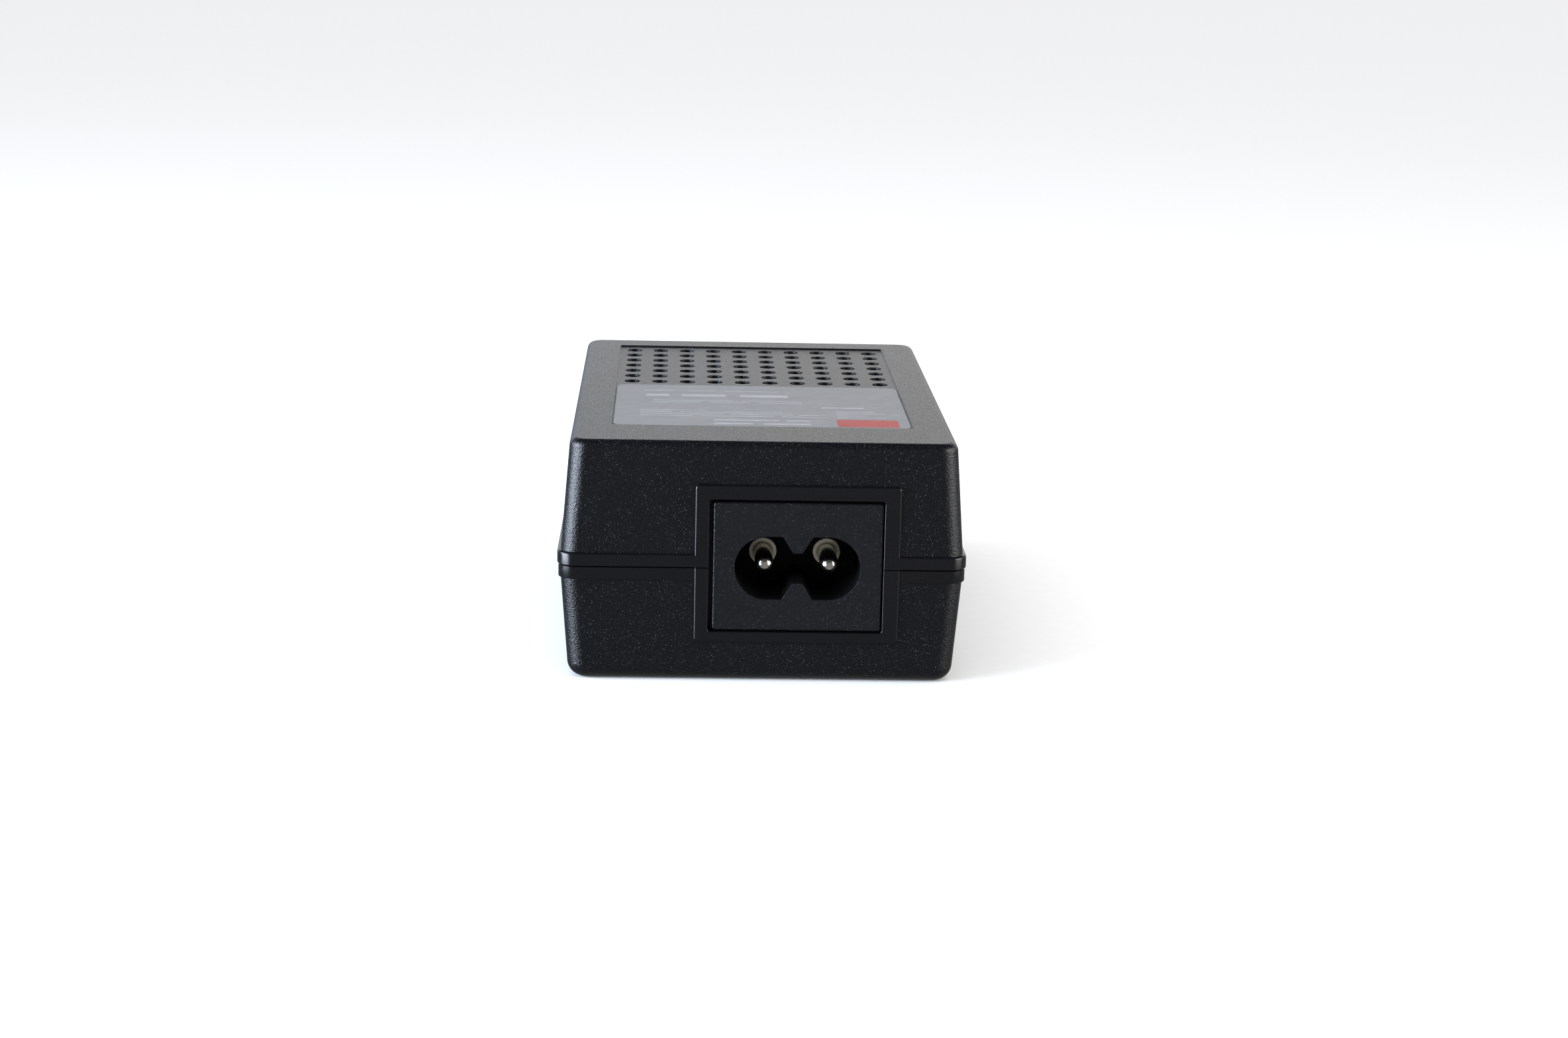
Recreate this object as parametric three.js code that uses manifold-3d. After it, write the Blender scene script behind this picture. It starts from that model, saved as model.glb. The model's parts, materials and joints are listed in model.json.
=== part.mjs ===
// Desktop power-over-Ethernet injector: a two-shell plastic case with a figure-8 mains inlet in its
// front wall, two eight-way modular jacks in its rear wall, and the power supply between them.
//
// Units are millimetres. The inlet end faces -Y and the jack end faces +Y, +X is to the right when
// the inlet faces the viewer, and +Z is up. The origin is the middle of the footprint, on the
// surface that the case rests on.

import * as THREE from 'three';
import Module from 'manifold-3d';
import { mergeVertices } from 'three/addons/utils/BufferGeometryUtils.js';

const wasm = await Module();
wasm.setup();

// ---------------------------------------------------------------- driving dimensions

const GAP = 0.3; // clearance kept between neighbouring pieces
const CASE_WIDTH = 54; // along X, over the raised band
const CASE_LENGTH = 79; // along Y, over the raised band
const CASE_HEIGHT = 32.4;
const PARTING_HEIGHT = 15.6; // height of the line where the two shells meet
const WALL = 2;
const CORNER_RADIUS = 2.4; // upright corners of the case
const SIDE_DRAFT = 1.3; // how far a long wall leans in between the parting line and the top or base
const END_DRAFT = 0.3; // the same for the two end walls
const BAND_RELIEF = 0.3; // how far the smooth band and frames stand out from the walls
const BAND_HALF_HEIGHT = 1.8;
const TONGUE_THICKNESS = 1; // inner rim of the lower case, behind the cover's rim
const TONGUE_HEIGHT = 1.5;
const BASE_ROUND = 2; // radius along the bottom edge
const TOP_ROUND = 1; // radius along the top edge
const POST_RADIUS = 1.8; // posts that carry the board
const PEG_RADIUS = 1; // pegs on the posts, through the board's corner holes

const FRONT = -CASE_LENGTH / 2;
const REAR = CASE_LENGTH / 2;
const SIDE = CASE_WIDTH / 2;

const PANEL_HALF_WIDTH = 20.2; // shallow panel sunk in the top, for the label and the vents
const PANEL_FRONT = -28.2;
const PANEL_REAR = 33.3;
const PANEL_DEPTH = 0.2;
const PANEL_WALL = 1.9; // thickness of the top under the panel
const LABEL_INSET = 0.2;
const LABEL_LENGTH = 29.2;
const LABEL_THICKNESS = 0.1;
const VENT_COLUMNS = 10;
const VENT_ROWS = 7;
const VENT_PITCH_X = 4;
const VENT_PITCH_Y = 4.3;
const VENT_FIRST_Y = 4.4;
const VENT_RADIUS = 1.1;

const INLET_X = 4.6; // the inlet sits to the right of the middle
const INLET_Z = PARTING_HEIGHT; // height of the pins
const INLET_WIDTH = 22.4;
const INLET_HEIGHT = 17.4;
const INLET_BODY_Z = INLET_Z + 0.15; // middle of the housing's height
const INLET_FACE_Y = FRONT + BAND_RELIEF;
const INLET_BACK_Y = -21;
const SOCKET_DEPTH = 9.6;
const LOBE_RADIUS = 4.24;
const LOBE_SPACING = 8.12; // between the centres of the two lobes of the figure-8 opening
const PIN_SPACING = 8.6;
const PIN_RADIUS = 1.2;
const PIN_RECESS = 1.7; // pin tip below the inlet's face

const BOARD_BASE = 4.5;
const BOARD_THICKNESS = 1.6;
const BOARD_TOP = BOARD_BASE + BOARD_THICKNESS;
const SEAT = BOARD_TOP + GAP; // underside of the pieces that stand on the board
const BOARD_WIDTH = 46.4;
const BOARD_LENGTH = 73;

const JACK_SPACING = 20.4;
const JACK_WIDTH = 15.9;
const JACK_HEIGHT = 13.2;
const JACK_DEPTH = 18.3;
const JACK_FACE_Y = REAR - BAND_RELIEF;
const JACK_BACK_Y = JACK_FACE_Y - JACK_DEPTH;
const PLUG_WIDTH = 11.8; // opening for the eight-way plug
const PLUG_HEIGHT = 6.8;
const CONTACTS_PER_JACK = 8;
const CONTACT_PITCH = 1.02;
const CONTACT_RADIUS = 0.23;

// ---------------------------------------------------------------- colours and finishes

const FINISHES = {
  texturedPlastic: { color: 0x1c1d20, roughness: 0.55, metalness: 0 },
  inletPlastic: { color: 0x232428, roughness: 0.5, metalness: 0 },
  collarPlastic: { color: 0xb9ad92, roughness: 0.5, metalness: 0 },
  jackPlastic: { color: 0x202124, roughness: 0.45, metalness: 0 },
  nickel: { color: 0xc9c6bd, roughness: 0.22, metalness: 1 },
  gold: { color: 0xd9b25a, roughness: 0.25, metalness: 1 },
  labelFilm: { color: 0x8d8d91, roughness: 0.45, metalness: 0 },
  board: { color: 0x2c5a34, roughness: 0.5, metalness: 0 },
  film: { color: 0xc9b48a, roughness: 0.35, metalness: 0 },
  yellowTape: { color: 0xd8b42c, roughness: 0.4, metalness: 0 },
  yellowCase: { color: 0xcfae34, roughness: 0.45, metalness: 0 },
  ferrite: { color: 0x33332f, roughness: 0.7, metalness: 0.1 },
  copper: { color: 0xa9582c, roughness: 0.35, metalness: 1 },
  blackEpoxy: { color: 0x17171a, roughness: 0.5, metalness: 0 },
  blackSleeve: { color: 0x16181d, roughness: 0.35, metalness: 0 },
  blueDisc: { color: 0x1f4f9a, roughness: 0.4, metalness: 0 },
  greenDisc: { color: 0x35523b, roughness: 0.5, metalness: 0 },
  aluminium: { color: 0xb9bcc0, roughness: 0.4, metalness: 1 },
  steel: { color: 0x9fa1a4, roughness: 0.35, metalness: 1 },
  greenLens: { color: 0x69b27a, roughness: 0.2, metalness: 0 },
};

const injector = new THREE.Group();

function addPart(name, geometry, finish) {
  const mesh = new THREE.Mesh(geometry, new THREE.MeshStandardMaterial(FINISHES[finish]));
  mesh.name = name;
  injector.add(mesh);
}

// ---------------------------------------------------------------- joining and cutting

// Three.js geometry to a manifold solid: shared corners merged, triangles of no area dropped.
function toSolid(geometry) {
  const bare = geometry.clone();
  bare.deleteAttribute('normal');
  bare.deleteAttribute('uv');
  const merged = mergeVertices(bare, 1e-4);
  const corners = [];
  for (let i = 0; i < merged.index.count; i += 3) {
    const a = merged.index.getX(i);
    const b = merged.index.getX(i + 1);
    const c = merged.index.getX(i + 2);
    if (a !== b && b !== c && c !== a) {
      corners.push(a, b, c);
    }
  }
  return new wasm.Manifold(
    new wasm.Mesh({
      numProp: 3,
      vertProperties: new Float32Array(merged.attributes.position.array),
      triVerts: new Uint32Array(corners),
    }),
  );
}

function toGeometry(solid) {
  const mesh = solid.getMesh();
  const geometry = new THREE.BufferGeometry();
  geometry.setAttribute('position', new THREE.BufferAttribute(mesh.vertProperties, 3));
  geometry.setIndex(new THREE.BufferAttribute(mesh.triVerts, 1));
  geometry.computeVertexNormals();
  return geometry;
}

function join(pieces) {
  return toGeometry(pieces.map(toSolid).reduce((whole, piece) => whole.add(piece)));
}

function cut(body, tools) {
  return toGeometry(tools.map(toSolid).reduce((rest, tool) => rest.subtract(tool), toSolid(body)));
}

function keepInside(body, limit) {
  return toGeometry(toSolid(body).intersect(toSolid(limit)));
}

// ---------------------------------------------------------------- basic forms

function span(x, y, z) {
  const geometry = new THREE.BoxGeometry(x[1] - x[0], y[1] - y[0], z[1] - z[0]);
  return geometry.translate((x[0] + x[1]) / 2, (y[0] + y[1]) / 2, (z[0] + z[1]) / 2);
}

// A block standing on height `base`, centred on x and y.
function block(width, depth, height, x, y, base) {
  return span([x - width / 2, x + width / 2], [y - depth / 2, y + depth / 2], [base, base + height]);
}

// A solid of revolution about an upright axis. The profile runs from the bottom to the top.
function turned(profile, sides) {
  const points = profile.map(([radius, height]) => new THREE.Vector2(radius, height));
  return new THREE.LatheGeometry(points, sides).rotateX(Math.PI / 2);
}

function upright(radius, height, x, y, base, sides = 16) {
  const profile = [[0, 0], [radius, 0], [radius, height], [0, height]];
  return turned(profile, sides).translate(x, y, base);
}

// A round bar along Y, from y[0] to y[1].
function barAlongY(radius, x, y, z, sides = 16) {
  const length = y[1] - y[0];
  const bar = new THREE.CylinderGeometry(radius, radius, length, sides);
  return bar.translate(x, (y[0] + y[1]) / 2, z);
}

// A round bar along X, from x[0] to x[1].
function barAlongX(radius, x, y, z, sides = 16) {
  const length = x[1] - x[0];
  const bar = new THREE.CylinderGeometry(radius, radius, length, sides).rotateZ(Math.PI / 2);
  return bar.translate((x[0] + x[1]) / 2, y, z);
}

function roundedRectangle(width, length, radius) {
  const x = width / 2 - radius;
  const y = length / 2 - radius;
  const shape = new THREE.Shape();
  shape.absarc(x, -y, radius, -Math.PI / 2, 0);
  shape.absarc(x, y, radius, 0, Math.PI / 2);
  shape.absarc(-x, y, radius, Math.PI / 2, Math.PI);
  shape.absarc(-x, -y, radius, Math.PI, 1.5 * Math.PI);
  shape.closePath();
  return shape;
}

function roundedPlate(width, length, radius, x, y, z) {
  const shape = roundedRectangle(width, length, radius);
  const plate = new THREE.ExtrudeGeometry(shape, {
    depth: z[1] - z[0],
    bevelEnabled: false,
    curveSegments: 4,
  });
  return plate.translate(x, y, z[0]);
}

// ---------------------------------------------------------------- the case

// How far the wall's outer face lies inside the case's largest outline at height z.
function wallInset(z) {
  const lean = Math.abs(z - PARTING_HEIGHT) / (CASE_HEIGHT - PARTING_HEIGHT);
  return { x: BAND_RELIEF + SIDE_DRAFT * lean, y: BAND_RELIEF + END_DRAFT * lean };
}

function levelAt(z, extraInset = 0) {
  const inset = wallInset(z);
  return { z, x: inset.x + extraInset, y: inset.y + extraInset };
}

function flushLevel(z, inset) {
  return { z, x: inset, y: inset };
}

// A solid with a rounded outline that moves in or out from level to level, from bottom to top.
function caseForm(levels, cornerRadius) {
  const shape = roundedRectangle(CASE_WIDTH, CASE_LENGTH, cornerRadius);
  const steps = levels.length - 1;
  const form = new THREE.ExtrudeGeometry(shape, {
    depth: steps,
    steps,
    bevelEnabled: false,
    curveSegments: 5,
  });
  const position = form.attributes.position;
  for (let i = 0; i < position.count; i += 1) {
    const level = levels[Math.round(position.getZ(i))];
    const x = position.getX(i);
    const y = position.getY(i);
    position.setXYZ(i, x - Math.sign(x) * level.x, y - Math.sign(y) * level.y, level.z);
  }
  return form;
}

// Levels of a rounded edge, from the flat face (at `flatZ`) to the wall, in quarter-circle steps.
function roundedEdge(flatZ, direction, radius) {
  const steps = 3;
  const levels = [];
  for (let i = 0; i <= steps; i += 1) {
    const angle = (i / steps) * (Math.PI / 2);
    const z = flatZ + direction * radius * (1 - Math.cos(angle));
    levels.push(levelAt(z, radius * (1 - Math.sin(angle))));
  }
  return levels;
}

const RIM_TOP = PARTING_HEIGHT - GAP / 2; // lower case
const RIM_BASE = PARTING_HEIGHT + GAP / 2; // cover
const INNER_RADIUS = CORNER_RADIUS - WALL;
const CAVITY_TOP = CASE_HEIGHT - PANEL_DEPTH - PANEL_WALL;
const TONGUE_OUTER = WALL + BAND_RELIEF - TONGUE_THICKNESS;
const CLEAR_THROUGH = 6; // length of a cutting tool across a wall, well past both faces

const FRAME_THICKNESS = 0.7; // the part of a raised frame that is sunk into the wall and beyond
const INLET_FRAME = { x: [-8.95, 18.05], below: 10.1, above: 11.15 };
const JACK_FRAME_MARGIN = 1.9;
const JACK_FRAME_HALF_WIDTH = JACK_SPACING / 2 + JACK_WIDTH / 2 + GAP + JACK_FRAME_MARGIN;

function inletFrame(z) {
  return span(INLET_FRAME.x, [FRONT, FRONT + FRAME_THICKNESS], z);
}

function jackFrame(z) {
  const halfWidth = JACK_FRAME_HALF_WIDTH;
  return span([-halfWidth, halfWidth], [REAR - FRAME_THICKNESS, REAR], z);
}

function inletCutout() {
  const y = [FRONT - 1, FRONT + CLEAR_THROUGH];
  const halfWidth = INLET_WIDTH / 2 + GAP;
  const halfHeight = INLET_HEIGHT / 2 + GAP;
  const x = [INLET_X - halfWidth, INLET_X + halfWidth];
  return span(x, y, [INLET_BODY_Z - halfHeight, INLET_BODY_Z + halfHeight]);
}

function jackCutout(x) {
  const width = JACK_WIDTH + 2 * GAP;
  return block(width, CLEAR_THROUGH, JACK_HEIGHT + 2 * GAP, x, REAR - 2, SEAT - GAP);
}

const JACK_POSITIONS = [-JACK_SPACING / 2, JACK_SPACING / 2];
const POST_POSITIONS = [[-20.8, -30], [20.8, -30], [-20.8, 30], [20.8, 30]];

function lowerCase() {
  const bandBase = PARTING_HEIGHT - BAND_HALF_HEIGHT;
  const outside = caseForm(
    [
      ...roundedEdge(0, 1, BASE_ROUND),
      levelAt(bandBase),
      flushLevel(bandBase, 0),
      flushLevel(RIM_TOP, 0),
    ],
    CORNER_RADIUS,
  );
  const tongue = caseForm(
    [flushLevel(RIM_TOP - 1, TONGUE_OUTER), flushLevel(RIM_TOP + TONGUE_HEIGHT, TONGUE_OUTER)],
    CORNER_RADIUS - 1,
  );
  const cavity = caseForm(
    [
      levelAt(WALL, WALL),
      levelAt(PARTING_HEIGHT - 1, WALL),
      flushLevel(PARTING_HEIGHT + 3, WALL + BAND_RELIEF),
    ],
    INNER_RADIUS,
  );
  const frames = [
    inletFrame([INLET_Z - INLET_FRAME.below, RIM_TOP]),
    jackFrame([SEAT - GAP - JACK_FRAME_MARGIN, RIM_TOP]),
  ];
  const shell = cut(join([outside, tongue, ...frames]), [
    cavity,
    inletCutout(),
    ...JACK_POSITIONS.map(jackCutout),
  ]);
  const posts = POST_POSITIONS.map(([x, y]) => join([
    upright(POST_RADIUS, BOARD_BASE - GAP - WALL + 1, x, y, WALL - 1, 12),
    upright(PEG_RADIUS, BOARD_THICKNESS + 2, x, y, BOARD_BASE - 1, 12),
  ]));
  return join([shell, ...posts]);
}

function vents() {
  const holes = [];
  for (let row = 0; row < VENT_ROWS; row += 1) {
    for (let column = 0; column < VENT_COLUMNS; column += 1) {
      const x = (column - (VENT_COLUMNS - 1) / 2) * VENT_PITCH_X;
      const y = VENT_FIRST_Y + row * VENT_PITCH_Y;
      holes.push(upright(VENT_RADIUS, 4, x, y, CASE_HEIGHT - 4, 8));
    }
  }
  return holes;
}

const LED_Z = 24.6;
const LED_RADIUS = 1.5;

function upperCover() {
  const bandTop = PARTING_HEIGHT + BAND_HALF_HEIGHT;
  const outside = caseForm(
    [
      flushLevel(RIM_BASE, 0),
      flushLevel(bandTop, 0),
      levelAt(bandTop),
      ...roundedEdge(CASE_HEIGHT, -1, TOP_ROUND).reverse(),
    ],
    CORNER_RADIUS,
  );
  const rimRebate = caseForm(
    [
      flushLevel(RIM_BASE - 1, TONGUE_OUTER - GAP),
      flushLevel(RIM_TOP + TONGUE_HEIGHT + GAP, TONGUE_OUTER - GAP),
    ],
    CORNER_RADIUS - 0.7,
  );
  const cavity = caseForm([levelAt(RIM_BASE - 1, WALL), levelAt(CAVITY_TOP, WALL)], INNER_RADIUS);
  const panel = roundedPlate(
    2 * PANEL_HALF_WIDTH,
    PANEL_REAR - PANEL_FRONT,
    0.5,
    0,
    (PANEL_REAR + PANEL_FRONT) / 2,
    [CASE_HEIGHT - PANEL_DEPTH, CASE_HEIGHT + 1],
  );
  const ledBore = barAlongY(LED_RADIUS + GAP, 0, [REAR - CLEAR_THROUGH, REAR + 1], LED_Z, 12);
  const frames = [
    inletFrame([RIM_BASE, INLET_Z + INLET_FRAME.above]),
    jackFrame([RIM_BASE, SEAT + JACK_HEIGHT + GAP + JACK_FRAME_MARGIN]),
  ];
  return cut(join([outside, ...frames]), [
    rimRebate,
    cavity,
    panel,
    ledBore,
    inletCutout(),
    ...JACK_POSITIONS.map(jackCutout),
    ...vents(),
  ]);
}

function ratingLabel() {
  const width = 2 * (PANEL_HALF_WIDTH - LABEL_INSET);
  const floor = CASE_HEIGHT - PANEL_DEPTH;
  const y = PANEL_FRONT + LABEL_INSET + LABEL_LENGTH / 2;
  return roundedPlate(width, LABEL_LENGTH, 1.3, 0, y, [floor, floor + LABEL_THICKNESS]);
}

addPart('lower_case', lowerCase(), 'texturedPlastic');
addPart('upper_cover', upperCover(), 'texturedPlastic');
addPart('rating_label', ratingLabel(), 'labelFilm');

// ---------------------------------------------------------------- the mains inlet

const PIN_XS = [INLET_X - PIN_SPACING / 2, INLET_X + PIN_SPACING / 2];
const PIN_TAIL_Y = INLET_BACK_Y + 1;
const COLLAR_RADIUS = 1.85;
const COLLAR_LENGTH = 1.5;
const COLLAR_PROUD = 0.3;
const SOCKET_FLOOR_Y = INLET_FACE_Y + SOCKET_DEPTH;

// The figure-8 opening: two round lobes, with a notch closing in from above and from below.
function figureEightOpening() {
  const lobe = LOBE_SPACING / 2;
  const mouth = 2;
  const throat = 0.62;
  const notchTip = 2.1;
  const shape = new THREE.Shape();
  shape.absarc(lobe, 0, LOBE_RADIUS, -Math.PI / 2, Math.PI / 2);
  shape.lineTo(mouth, LOBE_RADIUS);
  shape.lineTo(throat, notchTip);
  shape.lineTo(-throat, notchTip);
  shape.lineTo(-mouth, LOBE_RADIUS);
  shape.absarc(-lobe, 0, LOBE_RADIUS, Math.PI / 2, 1.5 * Math.PI);
  shape.lineTo(-mouth, -LOBE_RADIUS);
  shape.lineTo(-throat, -notchTip);
  shape.lineTo(throat, -notchTip);
  shape.lineTo(mouth, -LOBE_RADIUS);
  shape.closePath();
  return shape;
}

function inletHousing() {
  const aroundInlet = (width, height, y) => span(
    [INLET_X - width / 2, INLET_X + width / 2],
    y,
    [INLET_BODY_Z - height / 2, INLET_BODY_Z + height / 2],
  );
  const flangeWidth = INLET_WIDTH + 3.2;
  const flangeHeight = INLET_HEIGHT + 1.2;
  const flangeFront = INLET_FACE_Y + WALL + GAP;
  const flangeBack = flangeFront + 1.5;
  const backWidth = INLET_WIDTH - 2;
  const backHeight = INLET_HEIGHT - 1.8;
  const body = join([
    aroundInlet(INLET_WIDTH, INLET_HEIGHT, [INLET_FACE_Y, flangeBack - 0.5]),
    aroundInlet(flangeWidth, flangeHeight, [flangeFront, flangeBack]),
    aroundInlet(backWidth, backHeight, [flangeBack - 0.5, INLET_BACK_Y]),
  ]);
  const socket = new THREE.ExtrudeGeometry(figureEightOpening(), {
    depth: SOCKET_DEPTH + 1,
    bevelEnabled: false,
    curveSegments: 12,
  });
  socket.rotateX(Math.PI / 2).translate(INLET_X, SOCKET_FLOOR_Y, INLET_Z);
  const bores = PIN_XS.flatMap((x) => [
    barAlongY(PIN_RADIUS + GAP, x, [SOCKET_FLOOR_Y - 1, INLET_BACK_Y + 1], INLET_Z, 12),
    barAlongY(
      COLLAR_RADIUS + GAP,
      x,
      [SOCKET_FLOOR_Y - 1, SOCKET_FLOOR_Y + COLLAR_LENGTH - COLLAR_PROUD + GAP],
      INLET_Z,
    ),
  ]);
  return cut(body, [socket, ...bores]);
}

// A round pin with a domed tip, and a square tail that turns down through the board.
function inletPin(x) {
  const tipY = INLET_FACE_Y + PIN_RECESS;
  const tail = 0.5;
  const length = PIN_TAIL_Y + tail - tipY;
  const domeRadius = 0.9;
  const profile = [[0, 0], [PIN_RADIUS, 0], [PIN_RADIUS, length - domeRadius]];
  for (let i = 1; i <= 3; i += 1) {
    const angle = (i / 3) * (Math.PI / 2);
    const radius = PIN_RADIUS - domeRadius * (1 - Math.cos(angle));
    profile.push([radius, length - domeRadius * (1 - Math.sin(angle))]);
  }
  profile.push([0, length]);
  const pin = turned(profile, 16).rotateX(Math.PI / 2);
  pin.translate(x, PIN_TAIL_Y + tail, INLET_Z);
  const drop = block(2 * tail, 2 * tail, INLET_Z - BOARD_BASE + 1, x, PIN_TAIL_Y, BOARD_BASE - 1);
  return join([pin, drop]);
}

function inletCollar(x) {
  const start = SOCKET_FLOOR_Y - COLLAR_PROUD;
  const y = [start, start + COLLAR_LENGTH];
  const around = [start - 1, start + COLLAR_LENGTH + 1];
  const bore = barAlongY(PIN_RADIUS + GAP, x, around, INLET_Z);
  return cut(barAlongY(COLLAR_RADIUS, x, y, INLET_Z), [bore]);
}

addPart('ac_inlet_housing', inletHousing(), 'inletPlastic');
addPart('inlet_pin_left', inletPin(PIN_XS[0]), 'nickel');
addPart('inlet_pin_right', inletPin(PIN_XS[1]), 'nickel');
addPart('inlet_collar_left', inletCollar(PIN_XS[0]), 'collarPlastic');
addPart('inlet_collar_right', inletCollar(PIN_XS[1]), 'collarPlastic');

// ---------------------------------------------------------------- the two modular jacks

// The plug enters along -Y with its latch underneath, so the contacts are at the top.
const PORT_BASE = SEAT + 3.5;
const PORT_TOP = PORT_BASE + PLUG_HEIGHT;
const PORT_BACK_Y = JACK_FACE_Y - 14.1;
const LATCH_STEPS = [{ width: 6.4, drop: 1.5 }, { width: 3.6, drop: 2.4 }]; // under the port
const CARRIER_WIDTH = 10.2;
const CARRIER_POCKET_TOP = SEAT + JACK_HEIGHT - 0.7;
const TONGUE_BASE = PORT_TOP + 1.2;
const CONTACT_HINGE = { y: JACK_FACE_Y - 2.2, z: PORT_TOP + 0.6 };
const CONTACT_TIP = { y: JACK_FACE_Y - 13.2, z: PORT_TOP - 2.1 };

function jackHousing(x) {
  const outer = block(JACK_WIDTH, JACK_DEPTH, JACK_HEIGHT, x, JACK_FACE_Y - JACK_DEPTH / 2, SEAT);
  const mouth = JACK_FACE_Y + 1;
  const partition = 0.8;
  const centred = (width, y, z) => span([x - width / 2, x + width / 2], y, z);
  const pocketWidth = CARRIER_WIDTH + 2 * GAP;
  return cut(outer, [
    centred(PLUG_WIDTH, [PORT_BACK_Y, mouth], [PORT_BASE, PORT_TOP]),
    ...LATCH_STEPS.map(({ width, drop }) => centred(
      width,
      [PORT_BACK_Y, mouth],
      [PORT_BASE - drop, PORT_BASE + 0.1],
    )),
    centred(pocketWidth, [JACK_BACK_Y + 1, JACK_FACE_Y - 1], [PORT_TOP - 0.1, CARRIER_POCKET_TOP]),
    centred(
      pocketWidth,
      [JACK_BACK_Y - 1, PORT_BACK_Y - partition],
      [SEAT - 1, CARRIER_POCKET_TOP],
    ),
  ]);
}

// The insert that holds the contact wires: a flat tongue over the port and a foot behind it.
function contactCarrier(x) {
  const top = CARRIER_POCKET_TOP - GAP;
  const backY = JACK_BACK_Y + GAP;
  const frontY = PORT_BACK_Y - 0.8 - GAP;
  const halfWidth = CARRIER_WIDTH / 2;
  const across = [x - halfWidth, x + halfWidth];
  return join([
    span(across, [backY, frontY], [SEAT, top]),
    span(across, [frontY - 1, JACK_FACE_Y - 1 - GAP], [TONGUE_BASE, top]),
  ]);
}

// One spring wire, from its bend just inside the mouth to its free end deep in the port.
function contactWire(x) {
  const section = new THREE.Shape();
  section.absarc(0, 0, CONTACT_RADIUS, 0, 2 * Math.PI);
  const path = new THREE.QuadraticBezierCurve3(
    new THREE.Vector3(x, CONTACT_HINGE.y, CONTACT_HINGE.z),
    new THREE.Vector3(x, CONTACT_HINGE.y - 4.5, CONTACT_HINGE.z - 0.4),
    new THREE.Vector3(x, CONTACT_TIP.y, CONTACT_TIP.z),
  );
  return new THREE.ExtrudeGeometry(section, { steps: 4, extrudePath: path, curveSegments: 3 });
}

function addJack(name, x) {
  addPart(`${name}_jack_housing`, jackHousing(x), 'jackPlastic');
  addPart(`${name}_contact_carrier`, contactCarrier(x), 'blackEpoxy');
  for (let i = 0; i < CONTACTS_PER_JACK; i += 1) {
    const offset = (i - (CONTACTS_PER_JACK - 1) / 2) * CONTACT_PITCH;
    addPart(`${name}_contact_${i + 1}`, join([contactWire(x + offset)]), 'gold');
  }
}

addJack('data_in', JACK_POSITIONS[0]);
addJack('poe_out', JACK_POSITIONS[1]);

// ---------------------------------------------------------------- the status lamp

// A round lamp body with a domed nose in the rear wall, on two legs that bend down to the board.
function statusLed() {
  const noseY = REAR - 0.2;
  const collarThickness = 0.8;
  const collarY = REAR - BAND_RELIEF - END_DRAFT - WALL - GAP - collarThickness;
  const bodyLength = noseY - collarY;
  const profile = [[0, 0], [1.9, 0], [1.9, collarThickness], [LED_RADIUS, collarThickness]];
  for (let i = 0; i <= 3; i += 1) {
    const angle = (i / 3) * (Math.PI / 2);
    const height = bodyLength - LED_RADIUS * (1 - Math.sin(angle));
    profile.push([LED_RADIUS * Math.cos(angle), height]);
  }
  const lamp = turned(profile, 16).rotateX(-Math.PI / 2).translate(0, collarY, LED_Z);
  const legs = [-1.27, 1.27].map((x) => join([
    span([x - 0.25, x + 0.25], [collarY - 3, collarY + 0.4], [LED_Z - 0.25, LED_Z + 0.25]),
    span([x - 0.25, x + 0.25], [collarY - 3, collarY - 2.5], [SEAT, LED_Z]),
  ]));
  return join([lamp, ...legs]);
}

addPart('status_led', statusLed(), 'greenLens');

// ---------------------------------------------------------------- board and insulation

function mainBoard() {
  const plate = roundedPlate(BOARD_WIDTH, BOARD_LENGTH, 2, 0, 0, [BOARD_BASE, BOARD_TOP]);
  const postHoles = POST_POSITIONS.map(
    ([x, y]) => upright(PEG_RADIUS + GAP, 4, x, y, BOARD_BASE - 1, 12),
  );
  const pinHoles = PIN_XS.map((x) => block(1.6, 1.6, 4, x, PIN_TAIL_Y, BOARD_BASE - 1));
  return cut(plate, [...postHoles, ...pinHoles]);
}

function insulationSheet() {
  const sheet = roundedPlate(44, 70, 1.5, 0, 0, [WALL + GAP, WALL + GAP + 0.25]);
  const clearances = POST_POSITIONS.map(
    ([x, y]) => upright(POST_RADIUS + GAP, 4, x, y, WALL - 1, 12),
  );
  return cut(sheet, clearances);
}

addPart('main_board', mainBoard(), 'board');
addPart('insulation_sheet', insulationSheet(), 'film');

// ---------------------------------------------------------------- mains-side components

// An upright can with a rolled groove near its base and a slightly sunk top.
function electrolyticCan(radius, height, x, y) {
  const groove = 0.08 * radius;
  const profile = [
    [0, 0],
    [radius - groove, 0],
    [radius, groove],
    [radius, 1.6],
    [radius - 2 * groove, 2],
    [radius, 2.4],
    [radius, height - groove],
    [radius - groove, height],
    [radius - 2.5 * groove, height],
    [radius - 3 * groove, height - 0.3],
    [0, height - 0.3],
  ];
  return turned(profile, 20).translate(x, y, SEAT);
}

// A coated disc standing on edge, facing +Y, on two leads.
function discOnLeads(radius, thickness, x, y) {
  const z = SEAT + 1.2 + radius;
  const disc = barAlongY(radius, x, [y - thickness / 2, y + thickness / 2], z, 20);
  const leads = [-0.6, 0.6].map((side) => block(0.6, 0.6, radius, x + side * radius, y, SEAT));
  return join([disc, ...leads]);
}

const CHOKE = { x: 4.5, y: -12.5, inner: 3.4, outer: 6.4, base: 8.1, height: 5 };

function chokeRing(inner, outer, base, height) {
  const profile = [[inner, 0], [outer, 0], [outer, height], [inner, height], [inner, 0]];
  return turned(profile, 24).translate(CHOKE.x, CHOKE.y, base);
}

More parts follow.
